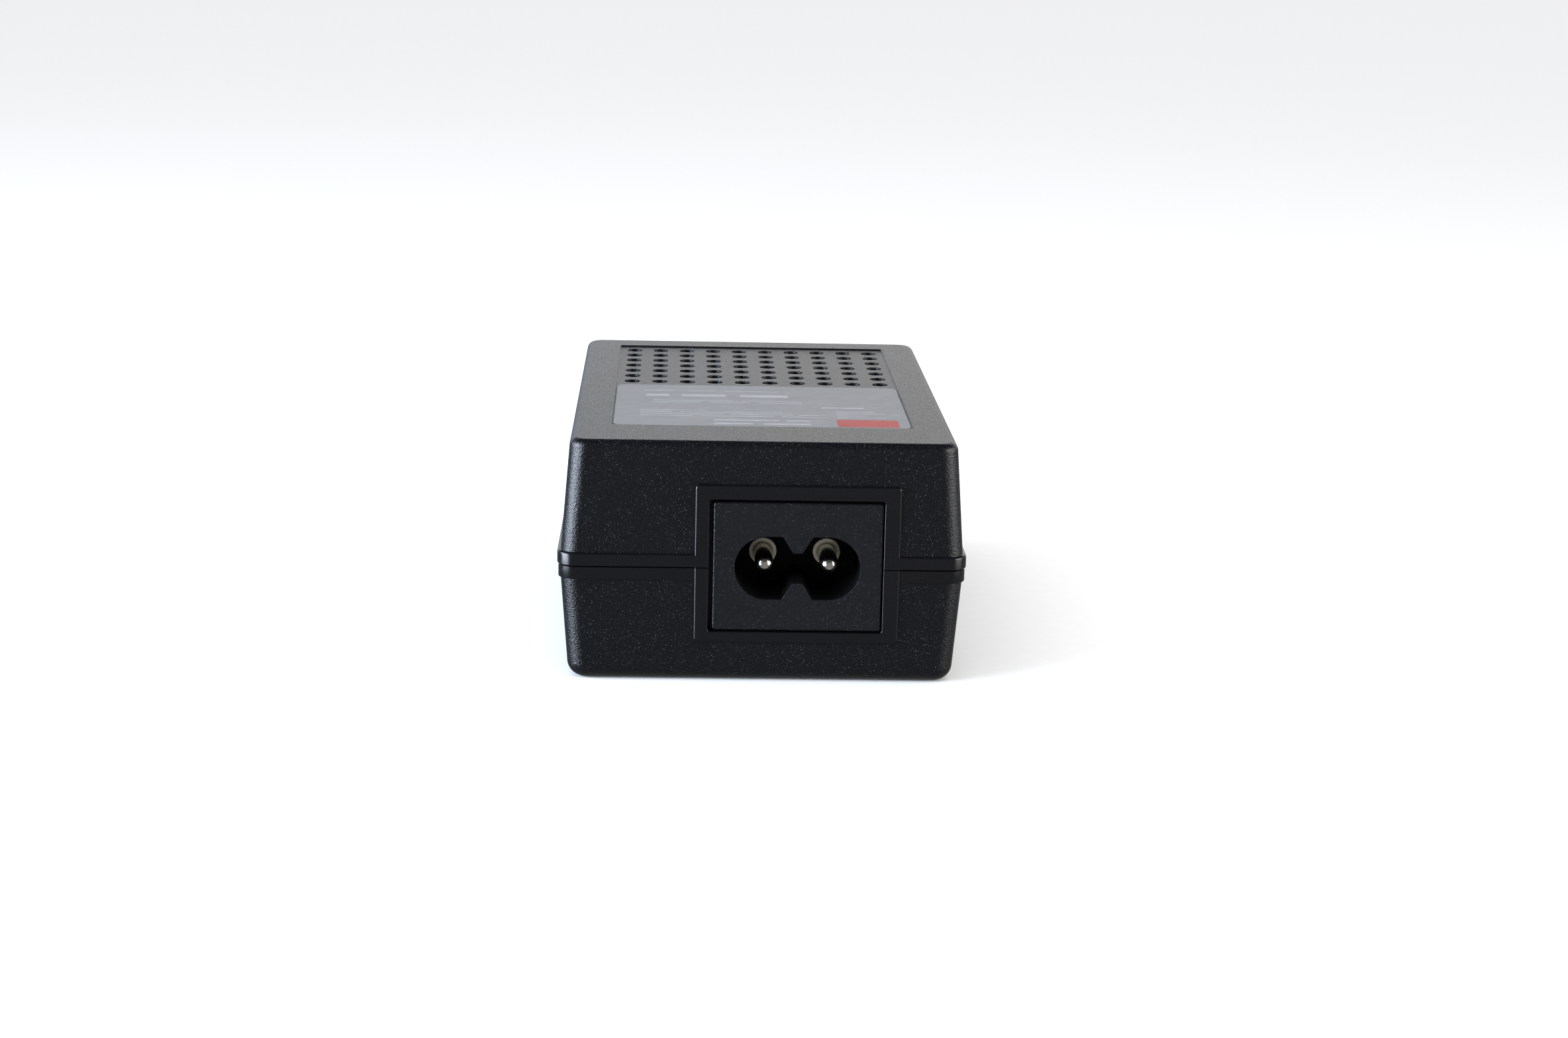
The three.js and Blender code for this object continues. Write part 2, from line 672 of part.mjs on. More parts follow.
// Wire turns over one side of the choke's ring, wound as a thick sleeve with a clear bore.
function chokeWinding(side) {
  const build = 1.1;
  const sleeve = chokeRing(
    CHOKE.inner - build,
    CHOKE.outer + build,
    CHOKE.base - build,
    CHOKE.height + 2 * build,
  );
  const bore = chokeRing(
    CHOKE.inner - GAP,
    CHOKE.outer + GAP,
    CHOKE.base - GAP,
    CHOKE.height + 2 * GAP,
  );
  const reach = 10;
  const sector = block(reach, 11, reach * 2, CHOKE.x + side * (reach / 2 + 1.6), CHOKE.y, 0);
  return keepInside(cut(sleeve, [bore]), sector);
}

addPart('mains_fuse', upright(4.2, 8, -14.3, -31, SEAT, 20), 'blackEpoxy');
addPart('surge_varistor', discOnLeads(4.6, 4, -14, -23.4), 'blueDisc');
addPart(
  'inrush_thermistor',
  discOnLeads(3.9, 3.6, 0, 0).rotateZ(Math.PI / 2).translate(20.6, -25.2, 0),
  'greenDisc',
);
addPart('interference_capacitor', block(17.4, 8.4, 15, -13.7, -13.8, SEAT), 'yellowCase');
addPart(
  'choke_core',
  chokeRing(CHOKE.inner, CHOKE.outer, CHOKE.base, CHOKE.height),
  'ferrite',
);
addPart('choke_winding_left', chokeWinding(-1), 'copper');
addPart('choke_winding_right', chokeWinding(1), 'copper');
addPart('bridge_rectifier', block(3.8, 14.4, 10.6, 20.4, -13.6, SEAT), 'blackEpoxy');
addPart('bulk_capacitor', electrolyticCan(7, 22, -15.8, 0), 'blackSleeve');

// ---------------------------------------------------------------- switching stage

const SCREW_Z = 22.6;
const SCREW_CLEARANCE = 1.5 + GAP;

// A power transistor in a tabbed package, its tab flat against a heatsink plate.
// `side` is +1 when the body is on the plate's right, -1 when it is on its left.
function tabbedPackage(tabX, side, y) {
  const outward = (near, far) => [tabX + side * near, tabX + side * far].sort((a, b) => a - b);
  const tab = span(outward(0, 1.3), [y - 5, y + 5], [10, 26]);
  const body = span(outward(0.4, 4.2), [y - 4.9, y + 4.9], [9.8, 19]);
  const legs = [-2.54, 0, 2.54].map((offset) => span(
    outward(2, 2.6),
    [y + offset - 0.4, y + offset + 0.4],
    [SEAT, 10.5],
  ));
  const hole = barAlongX(SCREW_CLEARANCE, outward(-1, 3), y, SCREW_Z);
  return cut(join([tab, body, ...legs]), [hole]);
}

function heatsinkPlate(x, y, z) {
  const middle = (y[0] + y[1]) / 2;
  const hole = barAlongX(SCREW_CLEARANCE, [x[0] - 1, x[1] + 1], middle, SCREW_Z);
  return cut(span(x, y, z), [hole]);
}

// A pan-head screw through tab and plate, its head over the tab.
function heatsinkScrew(headX, side, y) {
  const outward = (near, far) => [headX + side * near, headX + side * far].sort((a, b) => a - b);
  const slot = span(outward(1.2, 3), [y - 0.3, y + 0.3], [SCREW_Z - 3, SCREW_Z + 3]);
  const head = cut(barAlongX(2.7, outward(0, 1.9), y, SCREW_Z, 16), [slot]);
  return join([head, barAlongX(1.5, outward(-4.4, 0.5), y, SCREW_Z, 12)]);
}

const SWITCH_PLATE_X = [-6.6, -5.1];
const SWITCH_Y = -1;
const SWITCH_TAB_X = SWITCH_PLATE_X[1] + GAP;

addPart('switch_heatsink', heatsinkPlate(SWITCH_PLATE_X, [-9, 7], [SEAT, 28]), 'aluminium');
addPart('switch_transistor', tabbedPackage(SWITCH_TAB_X, 1, SWITCH_Y), 'blackEpoxy');
addPart('switch_screw', heatsinkScrew(SWITCH_TAB_X + 1.3 + GAP, 1, SWITCH_Y), 'steel');
addPart('control_chip', block(5, 6, 1.4, 2, -1, BOARD_BASE - GAP - 1.4), 'blackEpoxy');

// ---------------------------------------------------------------- transformer

const TRANSFORMER = { x: 10.8, y: 2.8, z: 16.2 };

function aroundTransformer(halfX, halfY, z) {
  const { x, y, z: middle } = TRANSFORMER;
  return span([x - halfX, x + halfX], [y - halfY, y + halfY], [middle + z[0], middle + z[1]]);
}

// Two E-shaped ferrite halves glued leg to leg: a frame with a thick middle leg.
function transformerCore() {
  const { x, y, z } = TRANSFORMER;
  const windows = [-1, 1].map((side) => block(4.2, 10, 12, x + side * 5.7, y, z - 6));
  return cut(aroundTransformer(10.9, 3.5, [-9, 9]), windows);
}

// The bobbin slides over the middle leg and carries a flange at each end of the winding.
function transformerBobbin() {
  const tube = aroundTransformer(4.8, 4.8, [-5.6, 5.6]);
  const flanges = [[-5.6, -4.7], [4.7, 5.6]].map((z) => aroundTransformer(7.4, 7, z));
  return cut(join([tube, ...flanges]), [aroundTransformer(3.9, 3.8, [-7, 7])]);
}

function transformerWinding() {
  const inside = aroundTransformer(5.1, 5.1, [-6, 6]);
  return cut(aroundTransformer(7.2, 6.8, [-4.4, 4.4]), [inside]);
}

addPart('transformer_core', transformerCore(), 'ferrite');
addPart('transformer_bobbin', transformerBobbin(), 'blackEpoxy');
addPart('transformer_winding', transformerWinding(), 'yellowTape');

// ---------------------------------------------------------------- output side

const OUTPUT_PLATE_X = [20.6, 22.1];
const OUTPUT_Y = 15.5;
const OUTPUT_TAB_X = OUTPUT_PLATE_X[0] - GAP;

// A drum-shaped ferrite coil former with its winding between the two flanges.
function outputChoke(x, y) {
  const profile = [[0, 0], [3.4, 0], [3.4, 1.2], [3, 1.4], [3, 6.6], [3.4, 6.8], [3.4, 8], [0, 8]];
  return turned(profile, 20).translate(x, y, SEAT);
}

addPart('safety_capacitor', discOnLeads(3.6, 3.4, -2.6, 13.6), 'blueDisc');
addPart('feedback_optocoupler', block(4.6, 6.5, 3.5, 3.6, 15, SEAT), 'blackEpoxy');
addPart('output_choke', outputChoke(10.6, 15.4), 'ferrite');
addPart('output_capacitor_1', electrolyticCan(4, 12, -19.3, 14.2), 'blackSleeve');
addPart('output_capacitor_2', electrolyticCan(4, 12, -10.8, 14.2), 'blackSleeve');
addPart('output_heatsink', heatsinkPlate(OUTPUT_PLATE_X, [10.4, 20.6], [SEAT, 27]), 'aluminium');
addPart('output_diode', tabbedPackage(OUTPUT_TAB_X, -1, OUTPUT_Y), 'blackEpoxy');
addPart('output_screw', heatsinkScrew(OUTPUT_TAB_X - 1.3 - GAP, -1, OUTPUT_Y), 'steel');

export default injector;
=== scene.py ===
"""Looks of a desktop power-over-Ethernet injector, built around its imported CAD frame.

Pieces are drawn in millimetres and written to Blender in metres. +X is to the right when the mains
inlet faces the viewer, +Y runs from the inlet end to the jack end, and +Z is up.
"""

import json
import math

import bmesh
import bpy
from mathutils import Matrix, Vector


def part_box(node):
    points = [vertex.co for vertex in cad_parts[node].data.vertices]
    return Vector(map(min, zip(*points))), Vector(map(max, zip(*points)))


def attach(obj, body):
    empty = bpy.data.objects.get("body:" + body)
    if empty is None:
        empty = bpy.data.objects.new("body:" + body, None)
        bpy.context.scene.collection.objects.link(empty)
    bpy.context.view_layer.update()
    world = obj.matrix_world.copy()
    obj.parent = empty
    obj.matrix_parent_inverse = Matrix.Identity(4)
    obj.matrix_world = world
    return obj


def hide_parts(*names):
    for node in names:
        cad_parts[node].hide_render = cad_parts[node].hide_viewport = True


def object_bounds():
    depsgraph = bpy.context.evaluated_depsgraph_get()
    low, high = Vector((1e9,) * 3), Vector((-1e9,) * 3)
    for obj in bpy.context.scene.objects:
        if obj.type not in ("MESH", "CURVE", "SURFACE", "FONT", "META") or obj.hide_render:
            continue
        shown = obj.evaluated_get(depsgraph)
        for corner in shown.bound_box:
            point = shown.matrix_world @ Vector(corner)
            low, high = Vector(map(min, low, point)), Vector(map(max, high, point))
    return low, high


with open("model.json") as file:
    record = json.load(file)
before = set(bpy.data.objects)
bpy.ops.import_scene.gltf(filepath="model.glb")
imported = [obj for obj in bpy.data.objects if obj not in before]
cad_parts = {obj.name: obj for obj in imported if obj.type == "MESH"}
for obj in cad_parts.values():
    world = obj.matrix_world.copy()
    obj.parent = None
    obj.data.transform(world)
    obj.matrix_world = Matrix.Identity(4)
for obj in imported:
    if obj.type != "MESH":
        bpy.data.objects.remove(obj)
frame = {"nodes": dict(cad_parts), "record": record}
cad_low, cad_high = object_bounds()

METRE = 1000.0  # millimetres
LEAST_RADIUS = 1e-4  # mm, stands for a point on a turning axis
SHARP_ANGLE = math.radians(32)  # creases sharper than this stay sharp


def middle(span):
    return (span[0] + span[1]) / 2


def box_mm(node):
    """Lowest and highest corner of a CAD node, in millimetres."""
    low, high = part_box(node)
    return Vector(low) * METRE, Vector(high) * METRE


# -------- driving dimensions, in mm

CASE_LOW = Vector(cad_low) * METRE
CASE_HIGH = Vector(cad_high) * METRE
CASE_WIDTH = CASE_HIGH.x - CASE_LOW.x
CASE_LENGTH = CASE_HIGH.y - CASE_LOW.y
CASE_HEIGHT = CASE_HIGH.z
FRONT = CASE_LOW.y
REAR = CASE_HIGH.y
CAD_GAP = 0.3  # clearance that the CAD pieces keep between each other
PARTING = box_mm("upper_cover")[0].z - CAD_GAP / 2
WALL = 2.0
CORNER_RADIUS = 2.4
BAND_RELIEF = 0.3
BAND_HALF_HEIGHT = 1.8
SIDE_DRAFT = 1.3
END_DRAFT = 0.3
TOP_ROUND = 1.0
BASE_ROUND = 2.0
SEAM_HALF_GAP = 0.06  # half of the dark line between the two shells
SEAM_EASE = 0.08  # how far the two shells' edges are broken at the seam
LOWER_BAND_STEP = 0.15  # the lower shell's band stands this far behind the cover's

LABEL_LOW, LABEL_HIGH = box_mm("rating_label")
LABEL_INSET = 0.2
PANEL_HALF_WIDTH = LABEL_HIGH.x + LABEL_INSET
PANEL_FRONT = LABEL_LOW.y - LABEL_INSET
PANEL_LENGTH = 61.5
PANEL_REAR = PANEL_FRONT + PANEL_LENGTH
PANEL_FLOOR = LABEL_LOW.z
PANEL_WALL = 1.9
PANEL_CORNER = 0.4
PANEL_EDGE = 0.14
CAVITY_TOP = PANEL_FLOOR - PANEL_WALL
VENT_COLUMNS = 10
VENT_ROWS = 7
VENT_PITCH_X = 4.0
VENT_PITCH_Y = 4.3
VENT_FIRST_Y = PANEL_FRONT + 32.6
VENT_RADIUS = 1.1
VENT_MOUTH = 0.14  # radius of the rounded edge round each vent

INLET_LOW, INLET_HIGH = box_mm("ac_inlet_housing")
INLET_X = (INLET_LOW.x + INLET_HIGH.x) / 2
COLLAR_LOW, COLLAR_HIGH = box_mm("inlet_collar_left")
INLET_Z = (COLLAR_LOW.z + COLLAR_HIGH.z) / 2
INLET_FACE_Y = INLET_LOW.y
INLET_WIDTH = 22.4
INLET_BOTTOM = INLET_Z - 8.55
INLET_TOP = INLET_Z + 8.85
INLET_EDGE = 0.32
INLET_BACK_WIDTH = 20.4
INLET_BACK_INSET = 0.9  # the back is this much shorter than the front, above and below
FLANGE_THICKNESS = 1.5
SOCKET_DEPTH = 9.6
SOCKET_RIM = 0.06
SOCKET_BORE = 1.25  # radius of the hole that holds each pin
LOBE_RADIUS = 4.24
LOBE_SPACING = 8.12
COLLAR_BORE = 1.24
COLLAR_MOUTH = 1.42  # the bore widens to this radius at its front
COLLAR_MOUTH_DEPTH = 0.2

BODY = "case"


# -------- mesh tools


def make_piece(name, vertices, faces, materials=(), face_materials=None):
    """A mesh object from points in millimetres."""
    mesh = bpy.data.meshes.new(name)
    mesh.from_pydata([Vector(v) / METRE for v in vertices], [], faces)
    for material in materials:
        mesh.materials.append(material)
    if face_materials:
        mesh.polygons.foreach_set("material_index", face_materials)
    mesh.update()
    piece = bpy.data.objects.new(name, mesh)
    bpy.context.scene.collection.objects.link(piece)
    return piece


def loft(name, rings, materials=(), strips=0):
    """A closed solid through rings of equal point counts, capped at both ends.

    `strips` is the material number of each strip between two rings, or one number for them all.
    """
    if isinstance(strips, int):
        strips = [strips] * (len(rings) - 1)
    count = len(rings[0])
    vertices = [point for ring in rings for point in ring]
    faces = [tuple(reversed(range(count)))]
    face_materials = [strips[0]]
    for level in range(len(rings) - 1):
        base = level * count
        for i in range(count):
            j = (i + 1) % count
            faces.append((base + i, base + j, base + count + j, base + count + i))
            face_materials.append(strips[level])
    last = (len(rings) - 1) * count
    faces.append(tuple(range(last, last + count)))
    face_materials.append(strips[-1])
    return make_piece(name, vertices, faces, materials, face_materials)


def turned(name, profile, segments, materials=(), place=Matrix.Identity(4)):
    """A solid of revolution. The profile is (radius, height) pairs, on the axis at both ends."""
    rings = []
    for radius, height in profile:
        radius = max(radius, LEAST_RADIUS)
        ring = []
        for i in range(segments):
            angle = 2 * math.pi * i / segments
            ring.append(place @ Vector((radius * math.cos(angle), radius * math.sin(angle), height)))
        rings.append(ring)
    return loft(name, rings, materials)


def arc_points(centre_x, centre_y, radius, start, end, segments):
    """Points on an arc, angles in degrees."""
    points = []
    for i in range(segments + 1):
        angle = math.radians(start + (end - start) * i / segments)
        points.append((centre_x + radius * math.cos(angle), centre_y + radius * math.sin(angle)))
    return points


def rounded_rectangle(width, length, radius, segments=8):
    """Counter-clockwise outline centred on the origin."""
    x = width / 2 - radius
    y = length / 2 - radius
    points = []
    for corner_x, corner_y, start in ((x, -y, -90), (x, y, 0), (-x, y, 90), (-x, -y, 180)):
        points += arc_points(corner_x, corner_y, radius, start, start + 90, segments)
    return points


def shifted(outline, x, y):
    return [(px + x, py + y) for px, py in outline]


def filleted(corners, segments=6):
    """A polygon with each (x, y, radius) corner rounded by an arc of that radius."""
    points = []
    count = len(corners)
    for i, (x, y, radius) in enumerate(corners):
        here = Vector((x, y))
        before = (Vector(corners[i - 1][:2]) - here).normalized()
        after = (Vector(corners[(i + 1) % count][:2]) - here).normalized()
        half_angle = before.angle(after) / 2
        if radius <= 0 or half_angle > math.radians(89.5):
            points.append((x, y))
            continue
        centre = (before + after).normalized() * (radius / math.sin(half_angle)) + here
        start = here + before * (radius / math.tan(half_angle)) - centre
        end = here + after * (radius / math.tan(half_angle)) - centre
        start_angle = math.atan2(start.y, start.x)
        sweep = math.atan2(start.cross(end), start.dot(end))
        for step in range(segments + 1):
            angle = start_angle + sweep * step / segments
            across, up = radius * math.cos(angle), radius * math.sin(angle)
            points.append((centre.x + across, centre.y + up))
    return points


def grown(outline, amount):
    """A counter-clockwise outline moved outwards along its corner normals."""
    moved = []
    count = len(outline)
    for i, point in enumerate(outline):
        here = Vector(point)
        before = here - Vector(outline[i - 1])
        after = Vector(outline[(i + 1) % count]) - here
        if before.length < 1e-7:
            before = here - Vector(outline[i - 2])
        if after.length < 1e-7:
            after = Vector(outline[(i + 2) % count]) - here
        before.normalize()
        after.normalize()
        normal = Vector((before.y + after.y, -before.x - after.x)).normalized()
        stretch = 1 / max(0.5, normal.dot(Vector((before.y, -before.x))))
        moved.append(tuple(here + normal * amount * stretch))
    return moved


def quarter_round(radius, segments=4):
    """(sink, inset) pairs of a rounded edge, from the side wall up to the flat face."""
    pairs = []
    for i in range(segments + 1):
        angle = math.pi / 2 * i / segments
        pairs.append((radius * (1 - math.sin(angle)), radius * (1 - math.cos(angle))))
    return pairs


def upright(outline, z):
    return [Vector((x, y, z)) for x, y in outline]


def outward(y):
    """The direction in y that leads out of the case at the nearer end."""
    return -1 if y < 0 else 1


def on_end(outline, y, centre_x, centre_z):
    """An outline drawn as seen from outside the nearer end, stood up at depth y."""
    return [Vector((centre_x - outward(y) * x, y, centre_z + z)) for x, z in outline]


def edge_rings(outline, radius, segments, face_y, x, z, flare=-1.0):
    """Rings of a rounded edge on a face at either end, running outwards to the face itself.

    A flare of -1 draws the outline in by the radius, as on a pad, and 1 opens it, as on a hole.
    """
    rings = []
    for sink, inset in quarter_round(radius, segments):
        y = face_y - outward(face_y) * sink
        rings.append(on_end(grown(outline, flare * inset), y, x, z))
    return rings


def applied(piece):
    """Turns a piece's modifiers into plain mesh."""
    graph = bpy.context.evaluated_depsgraph_get()
    mesh = bpy.data.meshes.new_from_object(piece.evaluated_get(graph))
    old = piece.data
    piece.modifiers.clear()
    piece.data = mesh
    mesh.name = piece.name
    bpy.data.meshes.remove(old)
    return piece


def combined(piece, tools, operation):
    """Joins or cuts a piece with tools, which are used up."""
    for tool in tools:
        modifier = piece.modifiers.new("combine", "BOOLEAN")
        modifier.operation = operation
        modifier.solver = "EXACT"
        modifier.object = tool
        modifier.material_mode = "TRANSFER"
    applied(piece)
    for tool in tools:
        mesh = tool.data
        bpy.data.objects.remove(tool)
        bpy.data.meshes.remove(mesh)
    return piece


def joined(piece, *tools):
    return combined(piece, tools, "UNION")


def cut(piece, *tools):
    return combined(piece, tools, "DIFFERENCE")


def merged(name, pieces):
    """Several separate bodies in one object."""
    bm = bmesh.new()
    materials = list(pieces[0].data.materials)
    for piece in pieces:
        bm.from_mesh(piece.data)
    mesh = bpy.data.meshes.new(name)
    bm.to_mesh(mesh)
    bm.free()
    for material in materials:
        mesh.materials.append(material)
    for piece in pieces:
        old = piece.data
        bpy.data.objects.remove(piece)
        bpy.data.meshes.remove(old)
    whole = bpy.data.objects.new(name, mesh)
    bpy.context.scene.collection.objects.link(whole)
    return whole


def slab(name, x, y, z, round_edge=0.0, materials=()):
    """A block between two values of x, y and z, its upright and top edges rounded."""
    radius = max(round_edge, 0.01)
    outline = rounded_rectangle(x[1] - x[0], y[1] - y[0], radius, 3)
    outline = shifted(outline, middle(x), middle(y))
    rings = []
    if round_edge:
        for sink, inset in reversed(quarter_round(radius * 0.9, 2)):
            rings.append(upright(grown(outline, -inset), z[0] + sink))
        for sink, inset in quarter_round(radius * 0.9, 2):
            rings.append(upright(grown(outline, -inset), z[1] - sink))
    else:
        rings = [upright(outline, z[0]), upright(outline, z[1])]
    return loft(name, rings, materials)


def bar(name, radius, start, end, segments=24, materials=(), edge=0.0):
    """A round bar between two points, its ends rounded by `edge`."""
    start, end = Vector(start), Vector(end)
    length = (end - start).length
    place = Matrix.Translation(start) @ (end - start).to_track_quat("Z", "Y").to_matrix().to_4x4()
    profile = [(0, 0), (radius - edge, 0)]
    if edge:
        profile += [(radius - inset, sink) for sink, inset in reversed(quarter_round(edge, 3))][1:]
        profile += [(radius - inset, length - sink) for sink, inset in quarter_round(edge, 3)]
    else:
        profile += [(radius, length)]
    profile.append((0, length))
    return turned(name, profile, segments, materials, place)


def soft_shading(piece):
    """Smooth shading that keeps sharp creases, after specks and loose edges are cleaned away."""
    bm = bmesh.new()
    bm.from_mesh(piece.data)
    bmesh.ops.remove_doubles(bm, verts=bm.verts, dist=2e-7)
    bmesh.ops.dissolve_degenerate(bm, edges=bm.edges, dist=1e-7)
    loose = [edge for edge in bm.edges if not edge.link_faces]
    bmesh.ops.delete(bm, geom=loose, context="EDGES")
    for face in bm.faces:
        face.smooth = True
    for edge in bm.edges:
        if len(edge.link_faces) == 2:
            edge.smooth = edge.calc_face_angle(math.pi) < SHARP_ANGLE
    bm.to_mesh(piece.data)
    bm.free()
    weighted = piece.modifiers.new("even_normals", "WEIGHTED_NORMAL")
    weighted.mode = "FACE_AREA"
    weighted.weight = 60
    weighted.keep_sharp = True
    return piece


def place_piece(piece, nodes=(), body=BODY):
    """Shades a finished piece, ties it to its body and hides the CAD nodes it replaces."""
    soft_shading(piece)
    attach(piece, body)
    if nodes:
        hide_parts(*nodes)


# -------- node materials


class NodeTree:
    """A node tree under construction."""

    def __init__(self, tree):
        self.tree = tree

    def node(self, kind, inputs=None, **settings):
        made = self.tree.nodes.new(kind)
        for key, value in settings.items():
            setattr(made, key, value)
        for key, value in (inputs or {}).items():
            if isinstance(value, bpy.types.NodeSocket):
                self.tree.links.new(value, made.inputs[key])
            else:
                made.inputs[key].default_value = value
        return made

    def ramp(self, value, low, high, out_low=0.0, out_high=1.0, curve="LINEAR"):
        limits = {"From Min": low, "From Max": high, "To Min": out_low, "To Max": out_high}
        inputs = {"Value": value, **limits}
        made = self.node("ShaderNodeMapRange", inputs, clamp=True, interpolation_type=curve)
        return made.outputs["Result"]

    def math(self, operation, first, second):
        return self.node("ShaderNodeMath", {0: first, 1: second}, operation=operation).outputs[0]


class Recipe(NodeTree):
    """A node material under construction."""

    def __init__(self, name):
        self.material = bpy.data.materials.new(name)
        self.material.use_nodes = True
        super().__init__(self.material.node_tree)
        self.shader = self.tree.nodes["Principled BSDF"]
        self.place = self.node("ShaderNodeTexCoord").outputs["Object"]

    def set(self, **values):
        """Sets the shader's own sockets, with underscores for spaces."""
        for key, value in values.items():
            socket = self.shader.inputs[key.replace("_", " ")]
            if isinstance(value, bpy.types.NodeSocket):
                self.tree.links.new(value, socket)
            elif socket.type == "RGBA":
                socket.default_value = (*value, 1.0)
            else:
                socket.default_value = value
        return self

    def stretched(self, x, y, z):
        """The place on the piece, scaled differently along its axes."""
        return self.node("ShaderNodeMapping", {"Vector": self.place, "Scale": (x, y, z)}).outputs[0]

    def noise(self, per_mm, detail=2.0, roughness=0.55, place=None):
        inputs = {"Vector": place or self.place, "Scale": per_mm * METRE}
        inputs.update({"Detail": detail, "Roughness": roughness})
        return self.node("ShaderNodeTexNoise", inputs).outputs["Fac"]

    def cells(self, per_mm):
        inputs = {"Vector": self.place, "Scale": per_mm * METRE}
        return self.node("ShaderNodeTexVoronoi", inputs)

    def varied(self, pattern, least, spread):
        """A value that wanders with the pattern, up to `spread` above the least."""
        return self.ramp(pattern, 0.3, 0.7, least, least + spread)

    def blend(self, factor, first, second):
        made = self.node("ShaderNodeMix", data_type="RGBA")
        self.tree.links.new(factor, made.inputs["Factor"])
        for socket, value in ((made.inputs[6], first), (made.inputs[7], second)):
            if isinstance(value, bpy.types.NodeSocket):
                self.tree.links.new(value, socket)
            else:
                socket.default_value = (*value, 1.0)
        return made.outputs[2]

    def bump(self, height, distance_mm, strength=1.0):
        inputs = {"Height": height, "Distance": distance_mm / METRE, "Strength": strength}
        return self.node("ShaderNodeBump", inputs).outputs["Normal"]

    def edges(self, low=0.51, high=0.58):
        """High on convex edges, where handling wears a surface."""
        return self.ramp(self.node("ShaderNodeNewGeometry").outputs["Pointiness"], low, high)


def textured_plastic(
    name, dark, light, grain_per_mm, grain_depth, glint_power=3.0, roughness=0.3,
):
    """Spark-textured plastic: a fine glossy grain, sown with bright flecks, most of them faint. The
    flecks are painted glints: highlights of the grain painted into the base colour.
    """
    recipe = Recipe(name)
    pits = recipe.cells(grain_per_mm)
    fine = recipe.noise(grain_per_mm * 1.6, 2.0, 0.6)
    patches = recipe.noise(0.1, 3.0, 0.5)
    # bright flecks: painted glints, highlights of the grain painted into the base colour
    glint_cells = recipe.cells(grain_per_mm * 0.8)
    chance = recipe.node("ShaderNodeSeparateColor", {"Color": glint_cells.outputs["Color"]})
    here = recipe.math(
        "MULTIPLY",
        recipe.ramp(glint_cells.outputs["Distance"], 0.33, 0.06),
        recipe.ramp(recipe.noise(0.35, 2.0, 0.5), 0.35, 0.65, 0.35, 1.0),
    )
    painted_glint = recipe.math("MULTIPLY", here, recipe.math("POWER", chance.outputs[0], glint_power))
    worn = recipe.blend(recipe.ramp(patches, 0.3, 0.7), dark, tuple(1.3 * c for c in dark))
    grained = recipe.blend(recipe.ramp(fine, 0.5, 0.8, 0.0, 0.04), worn, light)
    height = recipe.math("ADD", pits.outputs["Distance"], fine)
    recipe.set(
        # the painted glints lift the base colour towards the light tone
        Base_Color=recipe.blend(painted_glint, grained, light),
        Roughness=recipe.varied(fine, roughness, 0.14),
        Normal=recipe.bump(height, grain_depth),
        Specular_IOR_Level=0.4,
    )
    return recipe.material


def smooth_plastic(name, tone, roughness=0.28, gloss=0.4):
    """Polished moulded plastic with faint flow marks and fine handling scratches."""
    recipe = Recipe(name)
    flow = recipe.noise(0.25, 3.0, 0.5)
    scratches = recipe.noise(1.2, 4.0, 0.7, recipe.stretched(1.0, 0.12, 2.4))
    rubbed = recipe.ramp(scratches, 0.55, 0.75)
    worn = tuple(1.3 * c for c in tone)
    recipe.set(
        Base_Color=recipe.blend(recipe.edges(), recipe.blend(flow, tone, worn), worn),
        Roughness=recipe.ramp(rubbed, 0.0, 1.0, roughness, roughness + 0.16),
        Normal=recipe.bump(recipe.math("ADD", flow, rubbed), 0.004, 0.6),
        Specular_IOR_Level=gloss,
    )
    return recipe.material


def plated_metal(name, tone, tarnish, roughness=0.14):
    """A plated pin or wire, drawn along its length, with slight tarnish."""
    recipe = Recipe(name)
    drawn = recipe.noise(2.0, 2.0, 0.5, recipe.stretched(3.0, 0.3, 3.0))
    cloud = recipe.noise(0.7, 3.0, 0.6)
    recipe.set(
        Base_Color=recipe.blend(recipe.ramp(cloud, 0.45, 0.75), tone, tarnish),
        Metallic=1.0,
        Roughness=recipe.ramp(drawn, 0.3, 0.8, roughness, roughness + 0.1),
        Normal=recipe.bump(drawn, 0.002, 0.3),
    )
    return recipe.material


def printed_film(name, tone, roughness=0.4):
    """Satin polyester film with faint brushing and dust."""
    recipe = Recipe(name)
    fibres = recipe.noise(2.0, 3.0, 0.6, recipe.stretched(0.3, 5.0, 1.0))
    dust = recipe.noise(0.3, 4.0, 0.65)
    pale = tuple(min(1.0, 1.18 * c) for c in tone)
    recipe.set(
        Base_Color=recipe.blend(recipe.ramp(dust, 0.35, 0.75), tone, pale),
        Roughness=recipe.varied(fibres, roughness, 0.12),
        Normal=recipe.bump(fibres, 0.003, 0.5),
    )
    return recipe.material


def coated(name, tone, roughness=0.3, lump_per_mm=0.6, lump_depth=0.06):
    """A dipped or sleeved part: an uneven glossy skin."""
    recipe = Recipe(name)
    lumps = recipe.noise(lump_per_mm, 3.0, 0.5)
    fine = recipe.noise(lump_per_mm * 8, 2.0, 0.5)
    dark = tuple(0.7 * c for c in tone)
    recipe.set(
        Base_Color=recipe.blend(recipe.ramp(lumps, 0.35, 0.7), dark, tone),
        Roughness=recipe.varied(fine, roughness, 0.15),
        Normal=recipe.bump(
            recipe.math("ADD", lumps, recipe.math("MULTIPLY", fine, 0.1)), lump_depth,
        ),
    )
    return recipe.material


def ferrite(name):
    """Sintered ferrite: dark, dull, finely pitted."""
    recipe = Recipe(name)
    pits = recipe.cells(4.0)
    grain = recipe.noise(6.0, 3.0, 0.6)
    recipe.set(
        Base_Color=recipe.blend(
            recipe.ramp(grain, 0.4, 0.75), (0.028, 0.027, 0.025), (0.075, 0.072, 0.068),
        ),
        Roughness=recipe.varied(grain, 0.5, 0.3),
        Normal=recipe.bump(pits.outputs["Distance"], 0.03),
    )
    return recipe.material


